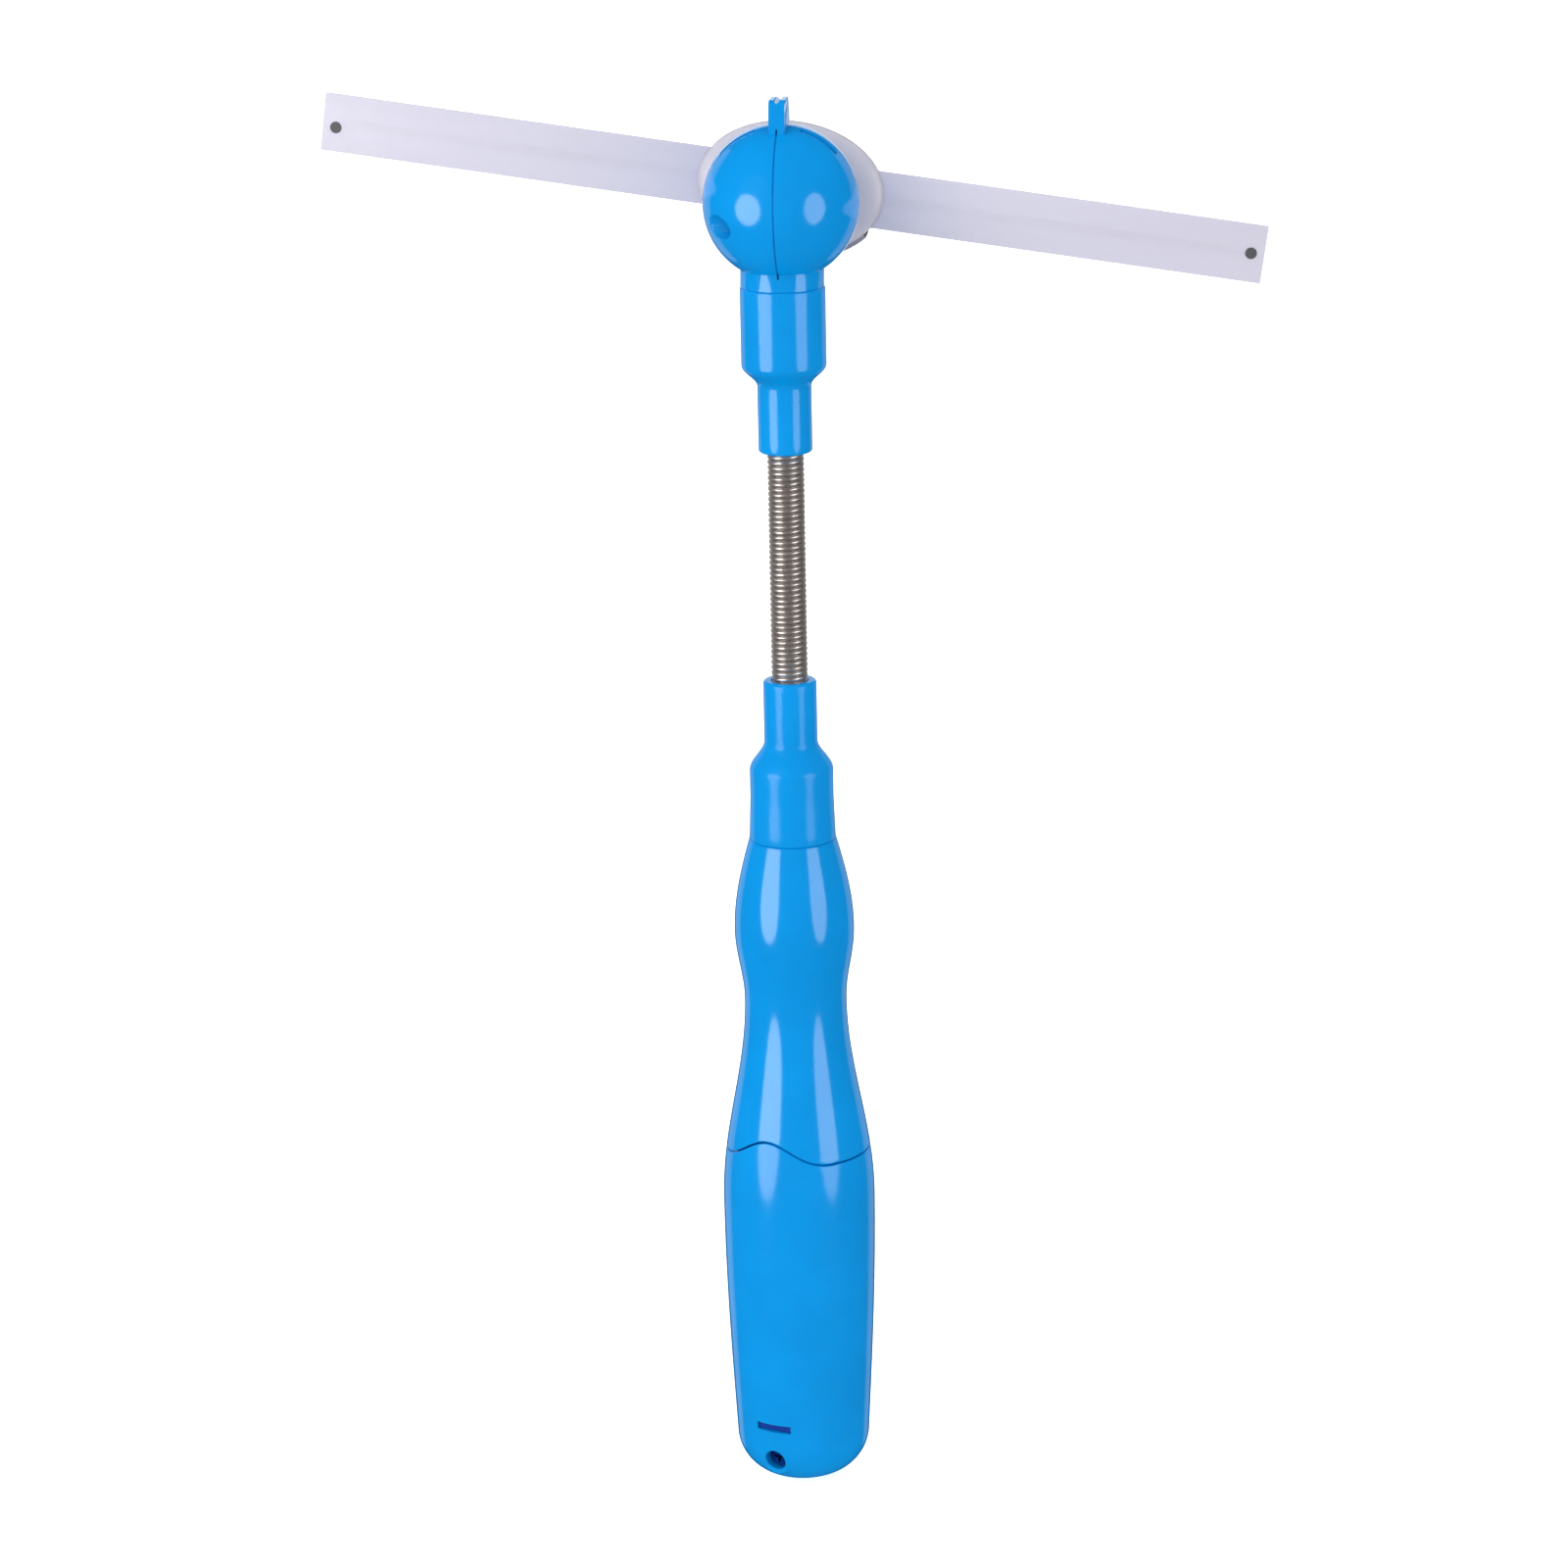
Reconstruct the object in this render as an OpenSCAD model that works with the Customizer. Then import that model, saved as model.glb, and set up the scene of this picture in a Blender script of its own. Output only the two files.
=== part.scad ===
// Light-up windmill wand: a battery handle, a bending spring neck, and a ball head with
// a motor that spins an oval hub and two flat flexible strips. Millimetres.
// +Z runs up the handle from the flat under it, and +Y is the rotor side.

/* [Handle] */
// Radius of the flat under the handle
base_flat_r = 6; // [4:0.5:8]
// Rounding between that flat and the side
base_round = 12; // [10:0.5:14]
// Largest radius of the grip
belly_r = 20.4; // [20.4:0.1:26]
// Height of the largest radius
belly_z = 80; // [76:1:100]
// Radius of the waist
waist_r = 13.6; // [13:0.1:18]
// Height of the waist
waist_z = 136; // [134:1:150]
// Radius of the bulge under the thumb
bulge_r = 15.9; // [15.5:0.1:21]
// Height of the middle of the bulge
bulge_z = 155.5; // [152:0.5:170]
// Radius of the handle where the collar sits on it
top_r = 11.5; // [11.2:0.1:16]
// Height of the top of the handle
handle_top = 180.7; // [176:0.1:220]
// Wall of every blue moulding
shell_wall = 2; // [1.6:0.1:2.4]
// Turn of the handle's front about its axis, away from the head's front
handle_turn = -21; // [-90:1:90]

/* [Battery cover] */
// Height of the seam between the cover and the handle body
seam_z = 94.5; // [88:0.5:100]
// Rise of the seam's crest at the front and the back
crest_h = 6.2; // [3:0.1:8]
// Half of the crest's width
crest_w = 15.5; // [10:0.5:18]
// Width of the groove at the seam
seam_gap = 0.5; // [0.2:0.1:0.8]
// Height of the cover's screw
cover_screw_z = 8.6; // [8:0.1:10]
// Radius of a screw recess
recess_r = 3; // [2.8:0.1:3.2]
// Width of the snap slot
slot_w = 10; // [8:0.5:12]
// Height of the snap slot's opening
slot_h = 2.2; // [2:0.1:2.6]

/* [Cells] */
// Diameter of an AA cell
cell_d = 14.5; // [13.5:0.1:14.5]
// Length of an AA cell with its nub
cell_len = 50.5; // [49.2:0.1:50.5]
// Height of the underside of the cell tray
tray_z = 16.8; // [16:0.1:18]
// Gap between two cells
cell_gap = 0.3; // [0.1:0.1:0.5]
// Room that a battery spring takes
spring_room = 2.7; // [2:0.1:3.5]

/* [Button] */
// Radius of the power button
button_r = 5; // [4:0.1:6]
// How far the button stands out
button_proud = 1.4; // [0.8:0.1:2]
// How far the button travels
button_travel = 0.9; // [0.5:0.1:1]
// Height of the button
button_z = 151; // [148:0.5:160]

/* [Collars] */
// Radius of a collar's wide end
collar_r = 11; // [10.8:0.1:13]
// Radius of the lower collar's mouth
lower_mouth_r = 11.4; // [11:0.1:13.5]
// Length of the lower collar's wide end
lower_wide = 18.6; // [17:0.1:26]
// Length of the lower collar's shoulder
lower_shoulder = 8; // [5:0.1:10]
// Length of the lower collar's narrow end
lower_narrow = 16.2; // [14:0.1:22]
// Length of the upper collar's wide end
upper_wide = 20.2; // [17:0.1:26]
// Length of the upper collar's shoulder
upper_shoulder = 5.6; // [5:0.1:10]
// Length of the upper collar's narrow end
upper_narrow = 17.2; // [14:0.1:22]
// Radius of a collar's narrow end
narrow_r = 7; // [6.6:0.1:8.6]
// Length of the spigots that the collars sit on
spigot_len = 10; // [8:0.5:12]

/* [Spring neck] */
// Outer radius of the spring
spring_r = 4.8; // [4:0.1:5]
// Diameter of the spring's wire
spring_wire = 1.4; // [1:0.1:1.6]
// Visible length of the spring
spring_len = 60.8; // [48:0.1:80]
// Length of the spring inside each collar
spring_grip = 15; // [10:0.5:15.5]
// Gap that lets two neighbouring sections bend
bend_gap = 1.25; // [1.1:0.05:1.6]
// Radius of an insulated wire
wire_r = 0.55; // [0.4:0.05:0.6]

/* [Head] */
// Radius of the ball
ball_r = 20; // [20:0.1:25]
// Height of the ball's centre above the upper collar
ball_rise = 21.3; // [21:0.1:30]
// Radius of the ring under the ball
neck_ring_r = 10.8; // [10:0.1:11]
// Thickness of the double fin
fin_t = 4.1; // [4:0.1:7]
// How far the fin stands above the ball
fin_h = 6.5; // [4:0.1:10]
// How far the fin's rear foot is behind the ball's centre
fin_rear = 8.2; // [6:0.1:10]
// How far the fin's front foot is ahead of the ball's centre
fin_front = 6.5; // [4:0.1:8]
// Width of a vent slot
vent_w = 2; // [1:0.1:2]
// Place of the vent slots ahead of the ball's centre, minus is behind it
vent_y = -4; // [-5:0.1:3.5]

/* [Motor] */
// Radius of the motor's can
motor_r = 7.8; // [7:0.1:8]
// Length of the motor's can
motor_len = 15; // [13:0.5:15]
// Radius of the motor's shaft
shaft_r = 1; // [0.8:0.1:1.2]

/* [Rotor] */
// Distance of the strips' plane ahead of the ball
plane_gap = 5.5; // [5.2:0.1:8]
// Half of the hub's long axis
hub_a = 24.4; // [24:0.1:32]
// Half of the hub's short axis
hub_b = 17.2; // [17:0.1:22]
// Depth of the hub's rear half
hub_back = 4.5; // [4:0.1:5]
// Depth of the hub's front half
hub_front = 11.5; // [9:0.1:15]
// Wall of the milky hub
hub_wall = 1.3; // [1:0.1:1.5]
// Distance between the two strips' ends
strip_span = 247; // [200:0.5:300]
// Width of a strip
strip_w = 15; // [12:0.1:16]
// Thickness of a strip
strip_t = 1; // [0.8:0.1:1.2]
// Radius of a tip light
tip_r = 1.5; // [1.2:0.1:2]
// Distance of a tip light from its strip's end
tip_inset = 3.5; // [3:0.1:6]
// How far the left tip light sits off its strip's middle
tip_drop = 1.2; // [0:0.1:2]
// Turn of the strips at rest, left end up
rest_turn = 8.3; // [-90:0.1:90]

/* [Hidden] */
$fn = 64;

// Fits: glued or pressed pieces, mouldings inside mouldings, running and sliding pieces
glue_fit = 0.1;
drop_fit = 0.2;
run_fit = 0.05;
slide_fit = 0.3;
far = 200;

// Self-tapping screws: [shank radius, head radius, head height]
case_screw = [1.1, 2.5, 1.8];
board_screw = [0.8, 1.5, 1];
clamp_screw = [0.7, 1.3, 0.8];
screw_wall = 1.2;

// Handle
base_r = base_flat_r + base_round;
body_roof = 6;
collar_bore = 9;
spigot_r = collar_bore - glue_fit;
spigot_bore = 6.6;
step_z = 2.6;

// Cell bay, from the tray up
cell_r = cell_d / 2;
cell_ring = (cell_d + cell_gap) / sqrt(3);
tray_t = 3;
plate_t = 0.4;
plate_r = 4.5;
nub_r = 2.75;
nub_h = 1;
tray_top = tray_z + tray_t;
cell_z = tray_top + plate_t + spring_room;
bay_top = cell_z + cell_len + plate_t;
strut_r = 2.4;
strut_ring = cell_ring + 4.7;
foot_r = 10.5;
foot_bore = 8;
foot_z = 4;
boss_in = 10.9;
seat_out = 13;
tongue_w = slot_w - 0.6;
tongue_t = slot_h - 0.4;

// Frame, board and switch
skirt_t = 1.6;
frame_top = seam_z + crest_h + 8.3;
frame_plate = 3;
frame_boss_u = 10.6;
frame_boss_r = 3;
frame_boss_h = 12;
rail_u = 5;
rail_w = 2.6;
rail_t = 2.8;
rail_top = bulge_z + 13;
board_v = 3.2;
board_t = 1.6;
board_w = 15.2;
board_z = frame_top + 13;
switch_w = 6;
switch_h = 3.2;
plunger_r = 1.6;
plunger_foot = 1.2;
flange_r = button_r + 1.4;
flange_t = 1.2;
board_front = board_v + board_t;
plunger_top = board_front + 4.45;
flange_v = sqrt(pow(handle_r(button_z) - shell_wall, 2) - pow(flange_r, 2)) - slide_fit;

// Collars and spring
lower_len = lower_wide + lower_shoulder + lower_narrow;
upper_len = upper_wide + upper_shoulder + upper_narrow;
spring_z = handle_top + lower_len;
spring_top = spring_z + spring_len;
head_z = spring_top + upper_len;
spring_bore = spring_r - spring_wire;
bore_wide = 14;
bends = 6;
bend_pitch = spring_len / bends;
wire_room = 0.445;
wire_at = (spring_bore - wire_r - wire_room) / sqrt(2);
wire_foot = button_z + 4;

// Head, measured from the ball's centre
ball_z = head_z + ball_rise;
ball_in = ball_r - shell_wall;
seam_t = 0.4;
neck_bore = spigot_bore;
rear_screw = [-12.9, -4.2];
front_screw = [9, 13];
rear_floor = 9;
front_floor = 7.6;
tap_depth = 8;
rib_y = 4;
rib_t = 2;
channel_w = 6;
channel_z = 13;
port_r = 8;
plug_r = port_r - glue_fit;
flange_out = port_r + 1.5;
carrier_flange = 1.5;
flange_in_y = sqrt(pow(ball_in, 2) - pow(flange_out + slide_fit, 2)) - carrier_flange;
seat_ring = port_r + 3;
keeper_t = 1.3;
keeper_r = sqrt(pow(ball_in, 2) - pow(flange_in_y - glue_fit, 2)) + glue_fit;
carrier_front = sqrt(pow(ball_r, 2) - pow(port_r, 2)) + 0.2;
carrier_bore = 1.6;
fin_top = ball_r + fin_h;

// Motor
can_t = 0.8;
nose_r = 3;
nose_h = 1.5;
cap_t = 1;
plug_t = 1.2;
magnet_t = 1.5;
armature_r = 4.9;
armature_len = 9;
armature_y = -4;
commutator_r = 2.2;
commutator_len = 1.8;
cap_nose = 1.3;
tab_x = wire_at;
tab_z = 3.5;
tab_len = 3;

// Brushes
brush_r = 0.7;
brush_1 = [-wire_at, 3.1];
brush_2 = [wire_at, 5.2];
brush_rear = 7.8;
ring_mean = [norm(brush_1), norm(brush_2)];
ring_w = 1.2;
ring_t = 0.15;
ring_gap = 0.2;

// Rotor, measured from the ball's centre
plane_y = ball_r + plane_gap;
strip_rear = plane_y - strip_t / 2;
strip_front = strip_rear + strip_t;
pcb_t = 1.2;
pcb_r = 10.5;
pcb_arm = 16;
pcb_arm_w = 13;
pcb_rear = strip_rear - pcb_t;
ring_rear = pcb_rear - ring_t;
strip_root = 8.5;
clamp_t = 1;
clamp_x = 16;
clamp_w = 12;
clamp_screw_x = 12.5;
clamp_screw_z = 3.5;
drive_r = 3.5;
drive_spigot = 2;
hub_port = 7.5;
dome_hole = 1.3;
dome_top = plane_y + hub_front;
led_r = 1.5;
led_h = 4;
led_at = 8.3;
lead_r = 0.2;
lead_gap = 1.2;
rim_rear = strip_t / 2 + 0.05;
rim_front = strip_t / 2 + 0.5;
shell_steps = 8;
shell_sides = 56;

// Colours
blue = [0.06, 0.55, 0.9];
milky = [0.86, 0.85, 0.9];
film = [0.85, 0.85, 0.92];
steel = [0.58, 0.55, 0.52];
dark_steel = [0.35, 0.35, 0.37];
copper = [0.8, 0.5, 0.3];
black = [0.12, 0.12, 0.13];
green = [0.1, 0.4, 0.2];
tan_plastic = [0.8, 0.78, 0.7];

function ease(from, to, t) = from + (to - from) * (1 - cos(180 * t)) / 2;
function share(low, high, z) = (z - low) / (high - low);

// Outer radius of the handle at a height
function handle_r(z) =
    z < base_round ? base_flat_r + sqrt(pow(base_round, 2) - pow(base_round - z, 2))
    : z < belly_z ? base_r + (belly_r - base_r) * sin(90 * share(base_round, belly_z, z))
    : z < waist_z ? ease(belly_r, waist_r, share(belly_z, waist_z, z))
    : z < bulge_z ? ease(waist_r, bulge_r, share(waist_z, bulge_z, z))
    : top_r + (bulge_r - top_r) * cos(90 * share(bulge_z, handle_top, min(z, handle_top)));

// Even heights from one to another, about a step apart
function heights(low, high, step = step_z) =
    let (n = ceil((high - low) / step)) [for (i = [0 : n]) low + (high - low) * i / n];

// Frames: the handle's own front, the ball's centre, forward out of the ball, the rotor
module handle_frame() { rotate([0, 0, handle_turn]) children(); }
module rearward(z) { translate([0, 0, z]) rotate([90, 0, 0]) children(); }
module frontward(z) { translate([0, 0, z]) rotate([-90, 0, 0]) children(); }
module ball_frame() { translate([0, 0, ball_z]) children(); }
module forward() { ball_frame() rotate([-90, 0, 0]) children(); }
module rotor_frame() { ball_frame() rotate([0, rest_turn, 0]) rotate([-90, 0, 0]) children(); }

// Solid of revolution inside the handle's outline
module handle_solid(low, high, inset) {
    rotate_extrude()
        polygon(concat(
            [[0, low]],
            [for (z = heights(low, high)) [handle_r(z) - inset, z]],
            [[0, high]]
        ));
}

// The same for the rounded foot: its arc, then the side up to a height
module foot_solid(high, inset) {
    arc_r = base_round - inset;
    rotate_extrude()
        polygon(concat(
            [[0, inset]],
            [for (a = [0 : 9 : 81]) [base_flat_r + arc_r * sin(a), base_round - arc_r * cos(a)]],
            [for (z = heights(base_round, high)) [handle_r(z) - inset, z]],
            [[0, high]]
        ));
}

// Everything above the wavy seam, moved up by an offset
module above_seam(offset_z) {
    reach = belly_r + 5;
    rotate([90, 0, 0])
        linear_extrude(height = 2 * reach, center = true)
            polygon(concat(
                [[-reach, seam_z + offset_z]],
                [for (u = heights(-crest_w, crest_w, crest_w / 14))
                    [u, seam_z + offset_z + crest_h * (1 + cos(180 * u / crest_w)) / 2]],
                [[reach, seam_z + offset_z], [reach, handle_top + 1], [-reach, handle_top + 1]]
            ));
}

module tube(outer, inner, low, high) {
    translate([0, 0, low])
        difference() {
            cylinder(r = outer, h = high - low);
            translate([0, 0, -1]) cylinder(r = inner, h = high - low + 2);
        }
}

module rod(radius, low, high) {
    translate([0, 0, low]) cylinder(r = radius, h = high - low);
}

// Pan-head screw with a cross recess: the head's seat is at 0 and the shank runs down
module screw(kind, length) {
    cross = kind[1] * 1.2;
    difference() {
        union() {
            rod(kind[0], -length, 0);
            rod(kind[1], 0, kind[2]);
        }
        for (turn = [0, 90])
            rotate([0, 0, turn])
                translate([-cross / 2, -0.3, kind[2] * 0.4]) cube([cross, 0.6, kind[2]]);
    }
}

// ---------------------------------------------------------------- handle

module handle_body() {
    color(blue) handle_frame()
        difference() {
            union() {
                intersection() {
                    difference() {
                        handle_solid(seam_z, handle_top, 0);
                        handle_solid(seam_z - 1, handle_top - body_roof, shell_wall);
                    }
                    above_seam(seam_gap / 2);
                }
                intersection() {
                    handle_solid(frame_top, handle_top, shell_wall / 2);
                    for (side = [-1, 1])
                        translate([side * frame_boss_u, 0, 0])
                            rod(frame_boss_r, frame_top + glue_fit, frame_top + frame_boss_h);
                }
                rod(spigot_r, handle_top - body_roof / 2, handle_top + spigot_len);
            }
            rod(spigot_bore, handle_top - body_roof - 1, handle_top + spigot_len + 1);
            for (side = [-1, 1])
                translate([side * frame_boss_u, 0, 0])
                    rod(case_screw[0] + run_fit, frame_top, frame_top + tap_depth + 1);
            frontward(button_z) cylinder(r = button_r + slide_fit, h = far);
        }
}

module battery_cover() {
    color(blue) handle_frame()
        difference() {
            union() {
                difference() {
                    foot_solid(seam_z + crest_h + 1, 0);
                    foot_solid(seam_z + crest_h + 2, shell_wall);
                    above_seam(-seam_gap / 2);
                }
                intersection() {
                    foot_solid(belly_z, shell_wall / 2);
                    rearward(cover_screw_z) rod(recess_r + screw_wall, boss_in, far);
                }
            }
            rearward(cover_screw_z) rod(recess_r, seat_out, far);
            rearward(cover_screw_z) rod(case_screw[0] + slide_fit, boss_in - 1, far);
            translate([-slot_w / 2, -far, tray_z + tray_t / 2 - slot_h / 2])
                cube([slot_w, far, slot_h]);
        }
}

module cover_screw() {
    color(dark_steel) handle_frame()
        rearward(cover_screw_z) translate([0, 0, seat_out]) screw(case_screw, 8);
}

// Cell tray, struts, skirt and rails in one moulding, which slides up into the handle
module battery_frame() {
    tray_r = handle_r(tray_z) - shell_wall - drop_fit;
    color(blue) handle_frame()
        difference() {
            union() {
                difference() {
                    rod(foot_r, foot_z, tray_z + 1);
                    rod(foot_bore, foot_z - 1, tray_z);
                }
                rearward(cover_screw_z) rod(recess_r, 2, foot_r - 0.5);
                rod(tray_r, tray_z, tray_top);
                translate([-tongue_w / 2, -tray_r - shell_wall / 2, 0])
                    translate([0, 0, tray_z + (tray_t - tongue_t) / 2])
                        cube([tongue_w, tray_r, tongue_t]);
                for (turn = [-90, 30, 150])
                    rotate([0, 0, turn]) translate([strut_ring, 0, 0])
                        rod(strut_r, tray_z + 1, bay_top + 1);
                difference() {
                    handle_solid(bay_top, frame_top, shell_wall + drop_fit);
                    handle_solid(bay_top + frame_plate, frame_top - frame_plate,
                        shell_wall + drop_fit + skirt_t);
                }
                for (side = [-1, 1])
                    translate([side * (rail_u + rail_w / 2) - rail_w / 2, board_v - rail_t, 0])
                        translate([0, 0, frame_top - 1])
                            cube([rail_w, rail_t, rail_top - frame_top + 1]);
                translate([-rail_u - 1, board_v - rail_t, board_z])
                    cube([2 * rail_u + 2, rail_t, 4]);
            }
            rod(nub_r, bay_top - 1, frame_top + 1);
            for (side = [-1, 1])
                translate([side * frame_boss_u, 0, 0]) {
                    rod(case_screw[0] + slide_fit, bay_top - 1, frame_top + 1);
                    rod(case_screw[1] + slide_fit, bay_top - 1, bay_top + frame_plate + 1);
                }
            for (spot = board_spots())
                translate([spot[0], 0, 0])
                    frontward(spot[1]) rod(board_screw[0] + run_fit, board_v - 2, board_v + 1);
            rearward(cover_screw_z) rod(case_screw[0] + run_fit, 4, foot_r + 1);
        }
}

function board_spots() = [
    [rail_u + rail_w / 2, board_z + 4],
    [-rail_u - rail_w / 2, rail_top - 4]
];

module at_cell(i) {
    rotate([0, 0, 90 + 120 * i]) translate([cell_ring, 0, 0]) children();
}

// One AA cell, nub up or nub down
module cell(i, nub_up) {
    color(black) handle_frame() at_cell(i)
        translate([0, 0, cell_z + cell_len / 2]) rotate([nub_up ? 0 : 180, 0, 0])
            translate([0, 0, -cell_len / 2]) {
                cylinder(r = cell_r, h = cell_len - nub_h);
                rod(nub_r, cell_len - nub_h - 0.5, cell_len);
            }
}

module battery_cell_1() { cell(0, true); }
module battery_cell_2() { cell(1, false); }
module battery_cell_3() { cell(2, true); }

// Flat plate over one cell, or a bridge over two neighbouring cells
module contact_plate(first, last, low) {
    translate([0, 0, low])
        linear_extrude(height = plate_t) {
            for (i = [first : last]) rotate(90 + 120 * i) translate([cell_ring, 0]) circle(plate_r);
            if (last > first)
                rotate(150 + 120 * first)
                    translate([cell_ring / 2, 0]) square([3, cell_d], center = true);
        }
}

module battery_spring(i) {
    at_cell(i) translate([0, 0, tray_top + plate_t])
        rotate_extrude()
            polygon([[2.6, 0], [3.6, 0], [2.6, spring_room], [1.6, spring_room]]);
}

module lower_contacts() {
    color(steel) handle_frame() {
        contact_plate(0, 1, tray_top);
        contact_plate(2, 2, tray_top);
        for (i = [0 : 2]) battery_spring(i);
    }
}

module upper_contacts() {
    color(steel) handle_frame() {
        contact_plate(1, 2, bay_top - plate_t);
        contact_plate(0, 0, bay_top - plate_t);
    }
}

module frame_screws() {
    color(dark_steel) handle_frame()
        for (side = [-1, 1])
            translate([side * frame_boss_u, 0, frame_top - frame_plate])
                rotate([180, 0, 0]) screw(case_screw, tap_depth + 1);
}

module control_board() {
    color(green) handle_frame()
        difference() {
            translate([-board_w / 2, board_v, board_z])
                cube([board_w, board_t, rail_top - board_z]);
            for (spot = board_spots())
                translate([spot[0], 0, 0])
                    frontward(spot[1]) cylinder(r = board_screw[0] + run_fit, h = far);
        }
}

module board_screws() {
    color(steel) handle_frame()
        for (spot = board_spots())
            translate([spot[0], 0, 0])
                frontward(spot[1]) translate([0, 0, board_front]) screw(board_screw, board_t + 1.4);
}

module switch_body() {
    color(black) handle_frame()
        difference() {
            translate([-switch_w / 2, board_front, button_z - switch_w / 2])
                cube([switch_w, switch_h, switch_w]);
            frontward(button_z)
                rod(plunger_r + run_fit, board_front + plunger_foot - button_travel - 0.1, far);
        }
}

module switch_plunger() {
    color(tan_plastic) handle_frame()
        frontward(button_z) rod(plunger_r, board_front + plunger_foot, plunger_top);
}

// Domed cap, stem and the flange that keeps it behind the wall, in one turned outline
module power_button() {
    crown = handle_r(button_z) + button_proud;
    edge = 0.8;
    color(milky) handle_frame()
        frontward(button_z)
            rotate_extrude()
                polygon(concat(
                    [[0, plunger_top], [plunger_r + 0.6, plunger_top]],
                    [[plunger_r + 0.6, flange_v - flange_t], [flange_r, flange_v - flange_t]],
                    [[flange_r, flange_v], [button_r, flange_v]],
                    [for (a = [0 : 15 : 90])
                        [button_r - edge + edge * cos(a), crown - edge - 0.3 + edge * sin(a)]],
                    [[button_r / 2, crown - 0.1], [0, crown]]
                ));
}

// ---------------------------------------------------------------- collars and neck

// Reducing collar standing on its wide mouth: a spigot goes in below, the spring above
module collar(mouth, wide, shoulder, narrow) {
    length = wide + shoulder + narrow;
    rim = 0.7;
    rotate_extrude()
        polygon(concat(
            [[collar_bore, 0], [mouth, 0], [collar_r, wide * 0.6]],
            [for (t = [0 : 0.1 : 1]) [ease(collar_r, narrow_r, t), wide + shoulder * t]],
            [[narrow_r, length - rim], [narrow_r - rim, length]],
            [[spring_r + run_fit, length], [spring_r + run_fit, length - spring_grip]],
            [[spring_bore, length - spring_grip], [spring_bore, bore_wide + 3]],
            [[collar_bore, bore_wide]]
        ));
}

module handle_collar() {
    color(blue) translate([0, 0, handle_top])
        collar(lower_mouth_r, lower_wide, lower_shoulder, lower_narrow);
}

module head_collar() {
    color(blue) translate([0, 0, head_z]) mirror([0, 0, 1])
        collar(collar_r, upper_wide, upper_shoulder, upper_narrow);
}

// Sections of the close-wound spring, between the places where it bends
function bend_z(i) = spring_z + (i + 0.5) * bend_pitch;

module spring_section(low, high) {
    color(steel) tube(spring_r, spring_bore, low, high);
}

module neck_link(i) { spring_section(bend_z(i - 1) + bend_gap / 2, bend_z(i) - bend_gap / 2); }
module spring_foot() { spring_section(spring_z - spring_grip, bend_z(0) - bend_gap / 2); }
module spring_head() {
    spring_section(bend_z(bends - 1) + bend_gap / 2, spring_top + spring_grip);
}
module neck_link_1() { neck_link(1); }
module neck_link_2() { neck_link(2); }
module neck_link_3() { neck_link(3); }
module neck_link_4() { neck_link(4); }
module neck_link_5() { neck_link(5); }

// Quarter bend in the plane of Y and Z about a centre, from a starting angle
module quarter(y, z, radius, start) {
    translate([0, y, z]) rotate([90, 0, 90]) rotate([0, 0, start])
        rotate_extrude(angle = 90) translate([radius, 0]) circle(wire_r, $fn = 24);
}

module run(y_low, y_high, z) {
    translate([0, y_low, z]) rotate([-90, 0, 0])
        cylinder(r = wire_r, h = y_high - y_low, $fn = 24);
}

module rise(y, low, high) {
    translate([0, y, low]) cylinder(r = wire_r, h = high - low, $fn = 24);
}

// One wire: up the neck, away from the middle under the motor, then up to its end
module wire(turn_z, out_y, end_z) {
    first = 2.5;
    second = 1.5;
    rise(wire_at, wire_foot, turn_z);
    quarter(wire_at + first, turn_z, first, 90);
    run(wire_at + first, out_y - second, turn_z + first);
    quarter(out_y - second, turn_z + first + second, second, -90);
    rise(out_y, turn_z + first + second, end_z);
}

// Four wires: two turn back to the motor's tabs, two turn forward to the brushes
module neck_wires() {
    turn_z = ball_z - channel_z - 0.2;
    tab_y = motor_len / 2 + wire_r + 0.1;
    brush_y = brush_rear + 4 - wire_r - 0.1;
    color(copper) {
        for (side = [-1, 1])
            translate([side * wire_at, 0, 0]) mirror([0, 1, 0])
                wire(turn_z, tab_y, ball_z - tab_z - tab_len);
        translate([brush_1[0], 0, 0]) wire(turn_z, brush_y, ball_z - brush_1[1]);
        translate([brush_2[0], 0, 0]) wire(turn_z, brush_y, ball_z - brush_2[1]);
    }
}

// ---------------------------------------------------------------- head

// Arc-shaped slot through the ball's wall on one side
module vent(side) {
    ball_frame() translate([0, vent_y + vent_w / 2, 0]) rotate([90, 0, 0])
        rotate([0, 0, side > 0 ? 41 : 107])
            rotate_extrude(angle = 32)
                translate([ball_in - 1, 0]) square([shell_wall + 2, vent_w]);
}

// Rod along X through the ball, at a place given as [y, z]
module cross_rod(place, radius, low, high) {
    ball_frame() translate([0, place[0], place[1]]) rotate([0, 90, 0]) rod(radius, low, high);
}

// Side outline of the fin: straight rear edge, rounded top, sloping front edge
module fin_outline() {
    corner = 2;
    foot = ball_in - 3;
    union() {
        translate([-fin_rear + 1.2 + corner, fin_top - corner]) circle(corner);
        translate([fin_front - 2.4 - corner, fin_top - corner]) circle(corner);
        polygon([
            [-fin_rear, foot],
            [-fin_rear, sqrt(pow(ball_r, 2) - pow(fin_rear, 2)) - 0.2],
            [-fin_rear + 1.2, fin_top - corner],
            [-fin_rear + 1.2 + corner, fin_top - corner],
            [-fin_rear + 1.2 + corner, fin_top],
            [fin_front - 2.4 - corner, fin_top],
            [fin_front - 2.4 - corner, fin_top - corner],
            [fin_front - 2.4, fin_top - corner],
            [fin_front, sqrt(pow(ball_r, 2) - pow(fin_front, 2)) - 0.2],
            [fin_front, foot]
        ]);
    }
}

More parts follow.
